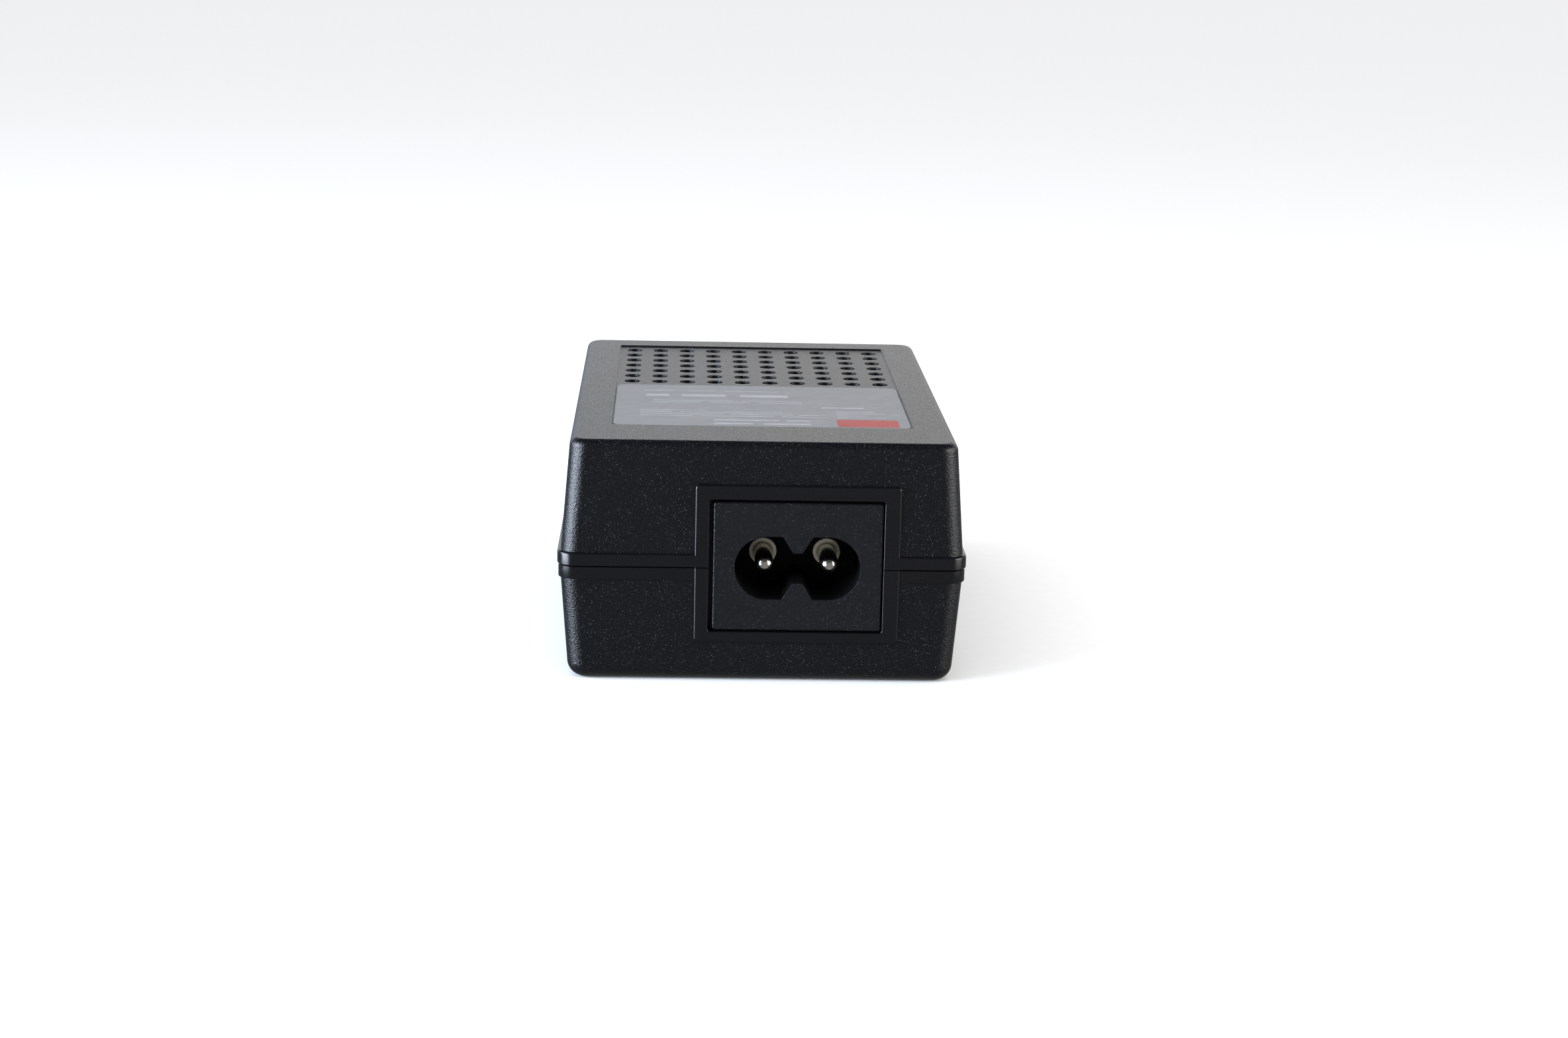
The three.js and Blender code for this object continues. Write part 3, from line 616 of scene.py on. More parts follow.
def windings(name, tone, groove_shade, turns_per_mm, axis, roughness, metallic):
    """Turns of wire or tape laid side by side, with painted shade darkening the colour in the groove
    between turns.
    """
    recipe = Recipe(name)
    wave = recipe.node(
        "ShaderNodeTexWave",
        {"Vector": recipe.place, "Scale": turns_per_mm * METRE / 3.2, "Distortion": 0.3},
        wave_type="BANDS",
        bands_direction=axis,
    ).outputs["Fac"]
    cloud = recipe.noise(0.8, 3.0, 0.6)
    # painted shade: the base colour darkens towards the groove between turns
    shade = recipe.math(
        "MULTIPLY", recipe.ramp(wave, 0.0, 0.5), recipe.ramp(cloud, 0.2, 0.8, 0.75, 1.0),
    )
    recipe.set(
        Base_Color=recipe.blend(shade, groove_shade, tone),
        Metallic=metallic,
        Roughness=recipe.varied(cloud, roughness, 0.15),
        Normal=recipe.bump(wave, 0.1 / turns_per_mm),
    )
    return recipe.material


def brushed_metal(name, tone, roughness=0.35):
    recipe = Recipe(name)
    brushed = recipe.noise(3.0, 4.0, 0.65, recipe.stretched(8.0, 8.0, 0.3))
    cloud = recipe.noise(0.3, 3.0, 0.6)
    recipe.set(
        Base_Color=recipe.blend(recipe.ramp(cloud, 0.3, 0.75), tuple(0.82 * c for c in tone), tone),
        Metallic=1.0,
        Roughness=recipe.varied(brushed, roughness, 0.2),
        Normal=recipe.bump(brushed, 0.006, 0.6),
    )
    return recipe.material


def circuit_board(name):
    """Green solder mask over copper tracks."""
    recipe = Recipe(name)
    tracks = recipe.node(
        "ShaderNodeTexVoronoi",
        {"Vector": recipe.place, "Scale": 0.35 * METRE, "Randomness": 0.75},
        feature="DISTANCE_TO_EDGE",
    )
    copper = recipe.ramp(tracks.outputs["Distance"], 0.10, 0.14)
    weave = recipe.noise(3.0, 2.0, 0.5)
    tone = recipe.blend(copper, (0.012, 0.07, 0.03), (0.03, 0.14, 0.055))
    recipe.set(
        Base_Color=tone,
        Roughness=recipe.varied(weave, 0.28, 0.14),
        Normal=recipe.bump(recipe.math("ADD", copper, recipe.math("MULTIPLY", weave, 0.2)), 0.03),
    )
    return recipe.material


def clear_lens(name, tone):
    """Tinted clear epoxy of a lamp."""
    recipe = Recipe(name)
    cloud = recipe.noise(1.0, 2.0, 0.5)
    recipe.set(
        Base_Color=recipe.blend(cloud, tone, tuple(0.85 * c for c in tone)),
        Roughness=recipe.varied(cloud, 0.06, 0.08),
        Transmission_Weight=0.55,
        IOR=1.52,
        Normal=recipe.bump(cloud, 0.01, 0.4),
    )
    return recipe.material


CASE_TEXTURED = textured_plastic(
    "case_textured", (0.0018, 0.002, 0.0028), (0.12, 0.126, 0.14), 5.2, 0.03, 3.4, 0.19,
)
CASE_SMOOTH = smooth_plastic("case_smooth", (0.0026, 0.0027, 0.0034), 0.22)
INLET_PLASTIC = textured_plastic(
    "inlet_plastic", (0.0032, 0.0034, 0.0046), (0.12, 0.126, 0.145), 5.6, 0.025, 3.2, 0.27,
)
SOCKET_PLASTIC = smooth_plastic("socket_plastic", (0.0008, 0.0008, 0.001), 0.6, 0.15)
JACK_PLASTIC = smooth_plastic("jack_plastic", (0.007, 0.007, 0.008), 0.34)
CARRIER_PLASTIC = smooth_plastic("carrier_plastic", (0.014, 0.014, 0.015), 0.4)
COLLAR_PLASTIC = smooth_plastic("collar_plastic", (0.56, 0.5, 0.37), 0.4)
NICKEL = plated_metal("nickel", (0.86, 0.82, 0.72), (0.66, 0.62, 0.52), 0.12)
GOLD = plated_metal("gold", (0.83, 0.58, 0.22), (0.68, 0.42, 0.16), 0.18)
LABEL_FILM = printed_film("label_film", (0.165, 0.165, 0.172))
LABEL_INK = printed_film("label_ink", (0.28, 0.28, 0.295), 0.45)
LABEL_PATCH = printed_film("label_patch", (0.3, 0.06, 0.055), 0.5)
LAMP_LENS = clear_lens("lamp_lens", (0.25, 0.75, 0.35))
STEEL = brushed_metal("steel", (0.5, 0.5, 0.51), 0.28)

SLOT_MATERIALS = {
    "case_plastic": CASE_TEXTURED,
    "inlet_plastic": INLET_PLASTIC,
    "jack_plastic": JACK_PLASTIC,
    "carrier_plastic": CARRIER_PLASTIC,
    "collar_plastic": COLLAR_PLASTIC,
    "nickel": NICKEL,
    "gold": GOLD,
    "label_film": LABEL_FILM,
    "lamp_lens": LAMP_LENS,
    "board": circuit_board("board"),
    "insulation": printed_film("insulation", (0.5, 0.4, 0.24), 0.3),
    "epoxy": textured_plastic("epoxy", (0.012, 0.012, 0.014), (0.05, 0.05, 0.055), 5.0, 0.02),
    "sleeve": coated("sleeve", (0.012, 0.014, 0.022), 0.22, 0.3, 0.02),
    "blue_coating": coated("blue_coating", (0.02, 0.1, 0.36), 0.25),
    "green_coating": coated("green_coating", (0.04, 0.1, 0.055), 0.4),
    "yellow_case": coated("yellow_case", (0.66, 0.46, 0.05), 0.35, 0.3, 0.02),
    "yellow_tape": windings(
        "yellow_tape", (0.72, 0.5, 0.04), (0.5, 0.33, 0.03), 0.45, "Z", 0.28, 0.0,
    ),
    "ferrite": ferrite("ferrite"),
    "copper_wire": windings(
        "copper_wire", (0.62, 0.22, 0.08), (0.16, 0.05, 0.02), 1.4, "Y", 0.25, 1.0,
    ),
    "aluminium": brushed_metal("aluminium", (0.62, 0.63, 0.65)),
    "steel": STEEL,
}


# -------- the two shells

TEXTURED, SMOOTH = 0, 1
SHELL_MATERIALS = (CASE_TEXTURED, CASE_SMOOTH)


def wall_inset(z):
    """How far the wall's outer face lies inside the case's largest outline, along x and along y."""
    lean = abs(z - PARTING) / (CASE_HEIGHT - PARTING)
    return BAND_RELIEF + SIDE_DRAFT * lean, BAND_RELIEF + END_DRAFT * lean


def case_ring(z, inset_x, inset_y, radius):
    """The case's outline at height z."""
    outline = rounded_rectangle(
        CASE_WIDTH - 2 * inset_x, CASE_LENGTH - 2 * inset_y, max(radius, 0.3), 12,
    )
    return upright(outline, z)


def wall_ring(z, extra=0.0):
    inset_x, inset_y = wall_inset(z)
    return case_ring(z, inset_x + extra, inset_y + extra, CORNER_RADIUS - extra)


def band_ring(z, inset):
    return case_ring(z, inset, inset, CORNER_RADIUS - inset)


def band_edge(seam_z, far_z, inset):
    """Rings of the raised band, from the seam to its rounded outer edge."""
    direction = 1 if far_z > seam_z else -1
    rings = [
        band_ring(seam_z, inset + SEAM_EASE),
        band_ring(seam_z + direction * SEAM_EASE, inset),
    ]
    edge = BAND_RELIEF - inset
    for sink, extra in quarter_round(edge, 4):
        rings.append(band_ring(far_z - direction * sink, inset + extra))
    return rings


FRAME_CORNER = 0.5
FRAME_EDGE = 0.24
FRAME_ROOT = 0.7  # how far a frame's pad reaches into the wall behind its face


def frame_pad(name, half_width, z, centre_x, face_y):
    """A raised frame on an end wall: a pad with rounded edges, its face at face_y."""
    centre_z = middle(z)
    outline = rounded_rectangle(2 * half_width, z[1] - z[0], FRAME_CORNER, 5)
    rings = [on_end(outline, face_y - outward(face_y) * FRAME_ROOT, centre_x, centre_z)]
    rings += edge_rings(outline, FRAME_EDGE, 4, face_y, centre_x, centre_z)
    return loft(name, rings, SHELL_MATERIALS, SMOOTH)


INLET_FRAME_X = (-8.95, 18.05)
INLET_FRAME_Z = (PARTING - 10.1, PARTING + 11.15)
JACK_BOXES = {name: box_mm(f"{name}_jack_housing") for name in ("data_in", "poe_out")}
JACK_FRAME_MARGIN = CAD_GAP + 1.9


def inlet_frame():
    half_width = (INLET_FRAME_X[1] - INLET_FRAME_X[0]) / 2
    return frame_pad("inlet_frame", half_width, INLET_FRAME_Z, middle(INLET_FRAME_X), FRONT)


def jack_frame():
    low = JACK_BOXES["data_in"][0]
    high = JACK_BOXES["poe_out"][1]
    half_width = high.x + JACK_FRAME_MARGIN
    z = (low.z - JACK_FRAME_MARGIN, high.z + JACK_FRAME_MARGIN)
    return frame_pad("jack_frame", half_width, z, 0.0, REAR)


OPENING_CORNER = 0.35
OPENING_EDGE = 0.12
OPENING_REACH = 5.0  # how far an opening's cutter reaches inwards
INLET_GAPS = {"left": 0.52, "right": 0.12, "below": 0.1, "above": 0.36}
JACK_GAP = 0.2


def opening_tool(name, x, z, face_y):
    """Cuts a rectangular opening through an end wall, its outer edge slightly rounded."""
    centre = (middle(x), middle(z))
    outline = rounded_rectangle(x[1] - x[0], z[1] - z[0], OPENING_CORNER, 4)
    rings = [on_end(outline, face_y - outward(face_y) * OPENING_REACH, *centre)]
    rings += edge_rings(outline, OPENING_EDGE, 3, face_y, *centre, flare=1.0)
    rings.append(on_end(grown(outline, OPENING_EDGE), face_y + outward(face_y), *centre))
    return loft(name, rings, SHELL_MATERIALS, SMOOTH)


def end_openings():
    """Tools for the inlet's and the jacks' openings. The inlet sits a little low and right."""
    left, right = INLET_X - INLET_WIDTH / 2, INLET_X + INLET_WIDTH / 2
    tools = [opening_tool(
        "inlet_opening",
        (left - INLET_GAPS["left"], right + INLET_GAPS["right"]),
        (INLET_BOTTOM - INLET_GAPS["below"], INLET_TOP + INLET_GAPS["above"]),
        FRONT,
    )]
    for name, (low, high) in JACK_BOXES.items():
        tools.append(opening_tool(
            f"{name}_opening",
            (low.x - JACK_GAP, high.x + JACK_GAP),
            (low.z - JACK_GAP, high.z + JACK_GAP),
            REAR,
        ))
    return tools


def half_space(name, z):
    """A block that fills everything between two heights."""
    reach = CASE_LENGTH
    outline = rounded_rectangle(2 * reach, 2 * reach, 0.1, 1)
    return loft(name, [upright(outline, z[0]), upright(outline, z[1])], SHELL_MATERIALS, SMOOTH)


def case_cavity(name, heights):
    """The hollow inside the walls between two heights."""
    rings = []
    for z in heights:
        inset_x, inset_y = wall_inset(z)
        rings.append(case_ring(z, inset_x + WALL, inset_y + WALL, CORNER_RADIUS - WALL))
    return loft(name, rings, SHELL_MATERIALS, SMOOTH)


TONGUE_INSET = WALL + BAND_RELIEF - 1.0
TONGUE_TOP = PARTING + 1.35
TONGUE_EASE = 0.15
REBATE_GAP = 0.12  # between the tongue and the cover's rim
LAMP_FLANGE = 1.9
LAMP_NOSE = 1.5
LAMP_BORE = 1.62


def vent_tools():
    """One tool that cuts every vent, each with a rounded mouth."""
    holes = []
    for row in range(VENT_ROWS):
        for column in range(VENT_COLUMNS):
            x = (column - (VENT_COLUMNS - 1) / 2) * VENT_PITCH_X
            y = VENT_FIRST_Y + row * VENT_PITCH_Y
            profile = [(0, CAVITY_TOP - 1), (VENT_RADIUS, CAVITY_TOP - 1)]
            for sink, inset in quarter_round(VENT_MOUTH, 6):
                profile.append((VENT_RADIUS + inset, PANEL_FLOOR - sink))
            profile += [(VENT_RADIUS + VENT_MOUTH, PANEL_FLOOR + 0.2), (0, PANEL_FLOOR + 0.2)]
            place = Matrix.Translation((x, y, 0))
            holes.append(turned("vent", profile, 24, SHELL_MATERIALS, place))
    return merged("vents", holes)


def panel_tool():
    """Sinks the shallow panel into the top."""
    outline = rounded_rectangle(2 * PANEL_HALF_WIDTH, PANEL_REAR - PANEL_FRONT, PANEL_CORNER, 4)
    outline = shifted(outline, 0, (PANEL_FRONT + PANEL_REAR) / 2)
    rings = [upright(grown(outline, -0.1), PANEL_FLOOR), upright(outline, PANEL_FLOOR + 0.1)]
    for sink, inset in quarter_round(PANEL_EDGE, 3):
        rings.append(upright(grown(outline, inset), CASE_HEIGHT - sink))
    rings.append(upright(grown(outline, PANEL_EDGE), CASE_HEIGHT + 1))
    return loft("panel", rings, SHELL_MATERIALS, TEXTURED)


def build_cover():
    seam = PARTING + SEAM_HALF_GAP
    band_top = PARTING + BAND_HALF_HEIGHT
    rings = band_edge(seam, band_top, 0.0)
    band_strips = len(rings)
    rings.append(wall_ring(band_top + 0.02))
    for sink, inset in quarter_round(TOP_ROUND, 6):
        rings.append(wall_ring(CASE_HEIGHT - sink, inset))
    strips = [SMOOTH] * band_strips + [TEXTURED] * (len(rings) - 1 - band_strips)
    cover = loft("cover_shell", rings, SHELL_MATERIALS, strips)
    cover = joined(cover, inlet_frame(), jack_frame())
    rim = TONGUE_INSET - REBATE_GAP
    rebate_rings = [band_ring(seam - 1, rim), band_ring(TONGUE_TOP + TONGUE_EASE, rim)]
    rebate = loft("rebate", rebate_rings, SHELL_MATERIALS, SMOOTH)
    lamp_z = box_mm("status_led")[1].z - LAMP_FLANGE
    lamp_ends = ((0, REAR - 6, lamp_z), (0, REAR + 1, lamp_z))
    lamp_bore = bar("lamp_bore", LAMP_BORE, *lamp_ends, 32, SHELL_MATERIALS)
    cover = cut(
        cover,
        half_space("below", (-1, seam)),
        case_cavity("cavity", (seam - 1, CAVITY_TOP)),
        rebate,
        *end_openings(),
        lamp_bore,
        panel_tool(),
        vent_tools(),
    )
    place_piece(cover, ["upper_cover"])


POST_X = 20.8
POST_Y = 30
POST_RADIUS = 1.8
PEG_RADIUS = 1.0
PEG_RISE = 2.6  # above the board's underside


def build_lower_case():
    seam = PARTING - SEAM_HALF_GAP
    band_base = PARTING - BAND_HALF_HEIGHT
    rings = []
    for sink, inset in reversed(quarter_round(BASE_ROUND, 8)):
        rings.append(wall_ring(sink, inset))
    rings.append(wall_ring(band_base - 0.02))
    wall_strips = len(rings) - 1
    rings += list(reversed(band_edge(seam, band_base, LOWER_BAND_STEP)))
    strips = [TEXTURED] * wall_strips + [SMOOTH] * (len(rings) - 1 - wall_strips)
    shell = loft("lower_shell", rings, SHELL_MATERIALS, strips)
    tongue = loft(
        "tongue",
        [
            band_ring(PARTING - 3, TONGUE_INSET),
            band_ring(TONGUE_TOP - TONGUE_EASE, TONGUE_INSET),
            band_ring(TONGUE_TOP, TONGUE_INSET + TONGUE_EASE),
        ],
        SHELL_MATERIALS,
        SMOOTH,
    )
    pads = (inlet_frame(), jack_frame())
    for pad in pads:
        cut(pad, half_space("above", (seam, CASE_HEIGHT + 1)))
    shell = joined(shell, tongue, *pads)
    shell = cut(shell, case_cavity("cavity", (WALL, PARTING + 3)), *end_openings())
    board_z = box_mm("main_board")[0].z
    posts = []
    for x in (-POST_X, POST_X):
        for y in (-POST_Y, POST_Y):
            post_ends = ((x, y, WALL - 0.5), (x, y, board_z - 0.1))
            peg_ends = ((x, y, WALL), (x, y, board_z + PEG_RISE))
            posts.append(bar("post", POST_RADIUS, *post_ends, 24, SHELL_MATERIALS))
            posts.append(bar("peg", PEG_RADIUS, *peg_ends, 20, SHELL_MATERIALS, 0.3))
    place_piece(joined(shell, *posts), ["lower_case"])


build_cover()
build_lower_case()


# -------- label

LABEL_THICKNESS = 0.1
LABEL_CORNER = 1.3
INK_THICKNESS = 0.02
INK_CORNER = 0.12
BLOCK_X = (10.2, 18.5)
BLOCK_Y = (-27.4, -22.6)
BLOCK_CORNER = 0.25


def label_plate(name, x, y, z, radius, material):
    outline = rounded_rectangle(x[1] - x[0], y[1] - y[0], radius, 6)
    outline = shifted(outline, middle(x), middle(y))
    return loft(name, [upright(outline, z[0]), upright(outline, z[1])], (material,))


def build_label():
    """The film, its plain bars of print, as (y, thickness, spans in x), and one block of colour."""
    top = PANEL_FLOOR + LABEL_THICKNESS
    ink_z = (top, top + INK_THICKNESS)
    x, y = (LABEL_LOW.x, LABEL_HIGH.x), (LABEL_LOW.y, LABEL_HIGH.y)
    plate = label_plate("label_sheet", x, y, (PANEL_FLOOR, top), LABEL_CORNER, LABEL_FILM)
    place_piece(plate, ["rating_label"])
    bars = []
    rows = [
        (-26.2, 0.9, ((-6.5, -1.2), (0.2, 6.6))),
        (-23.9, 0.7, ((-6.5, 2.4), (3.3, 6.6))),
        (-21.2, 0.35, ((-16.5, -9.4), (-8.2, 1.8), (2.8, 9.2), (10.4, 17.2))),
        (-19.9, 0.35, ((-16.5, -5.2), (-4.1, 4.4), (5.2, 8.8), (10.4, 14.6))),
        (-18.6, 0.35, ((-16.5, -12.2), (-11.0, 3.1), (10.4, 17.2))),
        (-17.3, 0.35, ((-16.5, -7.4), (10.4, 15.8))),
        (-14.4, 0.8, ((8.6, 14.4),)),
        (-11.6, 0.35, ((-14.8, -8.0), (-6.9, -1.2), (0.0, 6.0))),
        (-10.3, 0.35, ((-14.8, -3.6), (-2.4, 6.0))),
        (-6.6, 1.5, ((-15.8, -12.6), (-10.9, -4.6), (-2.6, 4.2))),
        (-3.2, 0.35, ((-16.2, -6.0), (-4.8, 3.0))),
    ]
    for y, thickness, spans in rows:
        for span in spans:
            across = (y - thickness / 2, y + thickness / 2)
            bars.append(label_plate("ink", span, across, ink_z, INK_CORNER, LABEL_INK))
    place_piece(merged("label_print", bars))
    block = label_plate("label_colour_block", BLOCK_X, BLOCK_Y, ink_z, BLOCK_CORNER, LABEL_PATCH)
    place_piece(block)


build_label()


# -------- mains inlet


def figure_eight():
    """The socket's outline: two round lobes and a notch from above and below, all corners eased."""
    lobe = LOBE_SPACING / 2
    mouth, throat, tip = 2.0, 0.62, 2.0
    right = arc_points(lobe, 0, LOBE_RADIUS, -90, 90, 24)
    left = arc_points(-lobe, 0, LOBE_RADIUS, 90, 270, 24)
    top = filleted([
        (lobe, LOBE_RADIUS, 0), (mouth, LOBE_RADIUS, 0.35), (throat, tip, 0.6),
        (-throat, tip, 0.6), (-mouth, LOBE_RADIUS, 0.35), (-lobe, LOBE_RADIUS, 0), (0, 40, 0),
    ], 6)
    notch = top[1:-2]
    bottom = [(-x, -z) for x, z in notch]
    return right + notch + left + bottom


def build_inlet():
    low, high = INLET_LOW, INLET_HIGH
    flange_front = INLET_FACE_Y + WALL + CAD_GAP
    flange_back = flange_front + FLANGE_THICKNESS
    step_y = flange_back - 0.4
    back_z = (INLET_BOTTOM + INLET_BACK_INSET, INLET_TOP - INLET_BACK_INSET)
    materials = (INLET_PLASTIC, SOCKET_PLASTIC)

    def stack(name, width, z, y, edge):
        outline = rounded_rectangle(width, z[1] - z[0], 0.4, 4)
        rings = [on_end(outline, y[1], INLET_X, middle(z))]
        rings += edge_rings(outline, edge, 4, y[0], INLET_X, middle(z))
        return loft(name, rings, materials)

    front_z = (INLET_BOTTOM, INLET_TOP)
    body = stack("inlet_body", INLET_WIDTH, front_z, (INLET_FACE_Y, step_y), INLET_EDGE)
    flange = stack("flange", high.x - low.x, (low.z, high.z), (flange_front, flange_back), 0.2)
    back = stack("back", INLET_BACK_WIDTH, back_z, (step_y, high.y), 0.1)
    body = joined(body, flange, back)
    outline = figure_eight()
    floor_y = INLET_FACE_Y + SOCKET_DEPTH
    rings = [on_end(grown(outline, -0.1), floor_y, INLET_X, INLET_Z)]
    rings.append(on_end(outline, floor_y - 0.3, INLET_X, INLET_Z))
    rings += edge_rings(outline, SOCKET_RIM, 3, INLET_FACE_Y, INLET_X, INLET_Z, flare=1.0)
    rings.append(on_end(grown(outline, SOCKET_RIM), INLET_FACE_Y - 1, INLET_X, INLET_Z))
    strips = [1] * (len(rings) - 3) + [0, 0]
    socket = loft("socket", rings, materials, strips)
    bores = []
    for side in ("left", "right"):
        pin_low, pin_high = box_mm(f"inlet_pin_{side}")
        x = (pin_low.x + pin_high.x) / 2
        ends = ((x, floor_y - 1, INLET_Z), (x, high.y + 1, INLET_Z))
        bores.append(bar("bore", SOCKET_BORE, *ends, 24, materials))
    body = cut(body, socket, *bores)
    place_piece(body, ["ac_inlet_housing"])


def turned_forwards(name, profile, segments, material, x, rear_y):
    """A part of the inlet turned on a pin's axis, its heights counted forwards from rear_y."""
    place = Matrix.Translation((x, rear_y, INLET_Z)) @ Matrix.Rotation(math.pi / 2, 4, "X")
    return turned(name, profile, segments, (material,), place)


def build_pin(side):
    low, high = box_mm(f"inlet_pin_{side}")
    x = (low.x + high.x) / 2
    radius = (high.x - low.x) / 2
    half_tail = 0.5
    tail_y = high.y - half_tail
    length = high.y - low.y
    tip = radius - 0.03
    profile = [(0, 0), (radius, 0)]
    for sink, inset in quarter_round(tip, 10):
        profile.append((radius - inset, length - sink))
    profile.append((0, length))
    pin = turned_forwards(f"pin_{side}", profile, 40, NICKEL, x, high.y)
    across, along = (x - half_tail, x + half_tail), (tail_y - half_tail, tail_y + half_tail)
    tail = slab("tail", across, along, (low.z, INLET_Z), 0.12, (NICKEL,))
    place_piece(joined(pin, tail), [f"inlet_pin_{side}"])


def build_collar(side):
    low, high = box_mm(f"inlet_collar_{side}")
    x = (low.x + high.x) / 2
    outer, length = (high.x - low.x) / 2, high.y - low.y
    ends = ((x, high.y, INLET_Z), (x, low.y, INLET_Z))
    ring = bar(f"collar_{side}", outer, *ends, 40, (COLLAR_PLASTIC,), 0.14)
    profile = [(0, -1), (COLLAR_BORE, -1), (COLLAR_BORE, length - COLLAR_MOUTH_DEPTH)]
    profile += [(COLLAR_MOUTH, length), (COLLAR_MOUTH, length + 1), (0, length + 1)]
    bore = turned_forwards("bore", profile, 40, COLLAR_PLASTIC, x, high.y)
    place_piece(cut(ring, bore), [f"inlet_collar_{side}"])


build_inlet()
for side_name in ("left", "right"):
    build_pin(side_name)
    build_collar(side_name)


# -------- network jacks and lamp

PORT_WIDTH = 11.8
PORT_HEIGHT = 6.8
PORT_RISE = 3.5  # floor of the port above the jack's underside
PORT_DEPTH = 14.1
LATCH_STEPS = ((3.2, 1.5), (1.8, 2.4))  # half width and drop of the steps under the port
CARRIER_WIDTH = 10.2
CARRIER_PARTITION = 0.8
TONGUE_RISE = 1.2  # underside of the carrier's tongue above the port
CONTACTS_PER_JACK = 8
CONTACT_PITCH = 1.02
CONTACT_RADIUS = 0.23
CONTACT_HINGE = (-2.2, 0.6)  # y from the jack's face, z from the top of the port
CONTACT_TIP = (-13.2, -2.1)
BEND_RADIUS = 0.45
PORT_EDGE = 0.3
RIB_HALF_WIDTH = 0.17
LEG_RADIUS = 0.26


def port_outline():
    """The mouth of the port, wide for the plug and stepped below for its latch."""
    half = PORT_WIDTH / 2
    inner, outer = 0.3, 0.12  # radii of the corners that point into the port and out of it
    right = [(half, 0, outer)]
    for step_half, drop in LATCH_STEPS:
        level = right[-1][1]
        right += [(step_half, level, inner), (step_half, -drop, outer)]
    left = [(-x, z, radius) for x, z, radius in right]
    top = (-half, PORT_HEIGHT, inner), (half, PORT_HEIGHT, inner)
    return filleted([top[0], *left, *reversed(right), top[1]], 3)


def tube(name, path, radius, sides=12, materials=(GOLD,)):
    """A round wire with rounded ends, along a path that keeps to one value of x."""
    path = [Vector(point) for point in path]
    across = Vector((1, 0, 0))
    rings = []

    def ring(centre, along, ring_radius):
        up = along.cross(across).normalized()
        points = []
        for i in range(sides):
            angle = 2 * math.pi * i / sides
            spoke = math.cos(angle) * up + math.sin(angle) * along.cross(up)
            points.append(centre + ring_radius * spoke)
        return points

    for i, point in enumerate(path):
        before = path[max(i - 1, 0)]
        after = path[min(i + 1, len(path) - 1)]
        along = (after - before).normalized()
        if i == 0:
            rings.append(ring(point - along * 0.7 * radius, along, 0.5 * radius))
            rings.append(ring(point - along * 0.35 * radius, along, 0.88 * radius))
        rings.append(ring(point, along, radius))
        if i == len(path) - 1:
            rings.append(ring(point + along * 0.35 * radius, along, 0.88 * radius))
            rings.append(ring(point + along * 0.7 * radius, along, 0.5 * radius))
    return loft(name, rings, materials)


def build_jack_housing(name):
    low, high = JACK_BOXES[name]
    x, z = (low.x + high.x) / 2, (low.z + high.z) / 2
    face_y = high.y
    port_z = low.z + PORT_RISE
    port_top = port_z + PORT_HEIGHT
    port_back = face_y - PORT_DEPTH
    materials = (JACK_PLASTIC,)
    outline = rounded_rectangle(high.x - low.x, high.z - low.z, 0.35, 4)
    rings = [on_end(outline, low.y, x, z), *edge_rings(outline, 0.25, 4, face_y, x, z)]
    housing = loft(f"{name}_jack", rings, materials)
    port = port_outline()
    flare = 0.7
    rings = [on_end(port, port_back, x, port_z)]
    rings += edge_rings(port, PORT_EDGE, 3, face_y, x, port_z, flare)
    rings.append(on_end(grown(port, flare * PORT_EDGE), face_y + 1, x, port_z))
    port_tool = loft("port", rings, materials)
    half = CARRIER_WIDTH / 2 + CAD_GAP
    across = (x - half, x + half)
    carrier_top = box_mm(f"{name}_contact_carrier")[1].z + CAD_GAP
    pocket_z = (port_top - 0.1, carrier_top)
    pocket = slab("pocket", across, (low.y + 1, face_y - 1), pocket_z, 0, materials)
    shaft_y = (low.y - 1, port_back - CARRIER_PARTITION)
    shaft = slab("shaft", across, shaft_y, (low.z - 1, carrier_top), 0, materials)
    housing = cut(housing, port_tool, pocket, shaft)
    ribs = []
    rib_y = (face_y - 4.4, face_y - 0.8)
    rib_z = (port_top - 0.12, port_top + TONGUE_RISE - 0.1)
    for i in range(CONTACTS_PER_JACK + 1):
        rib_x = x + (i - CONTACTS_PER_JACK / 2) * CONTACT_PITCH
        sides = (rib_x - RIB_HALF_WIDTH, rib_x + RIB_HALF_WIDTH)
        ribs.append(slab("rib", sides, rib_y, rib_z, 0.08, materials))
    housing = joined(housing, merged("comb", ribs))
    place_piece(housing, [f"{name}_jack_housing"])


def build_contact_carrier(name):
    low, high = box_mm(f"{name}_contact_carrier")
    jack_low, jack_high = JACK_BOXES[name]
    across = (low.x, high.x)
    foot_front = jack_high.y - PORT_DEPTH - CARRIER_PARTITION - CAD_GAP
    tongue_z = (jack_low.z + PORT_RISE + PORT_HEIGHT + TONGUE_RISE, high.z)
    materials = (CARRIER_PLASTIC,)
    foot = slab(f"{name}_carrier", across, (low.y, foot_front), (low.z, high.z), 0.2, materials)
    tongue = slab("tongue", across, (foot_front - 1, high.y), tongue_z, 0.15, materials)
    place_piece(joined(foot, tongue), [f"{name}_contact_carrier"])


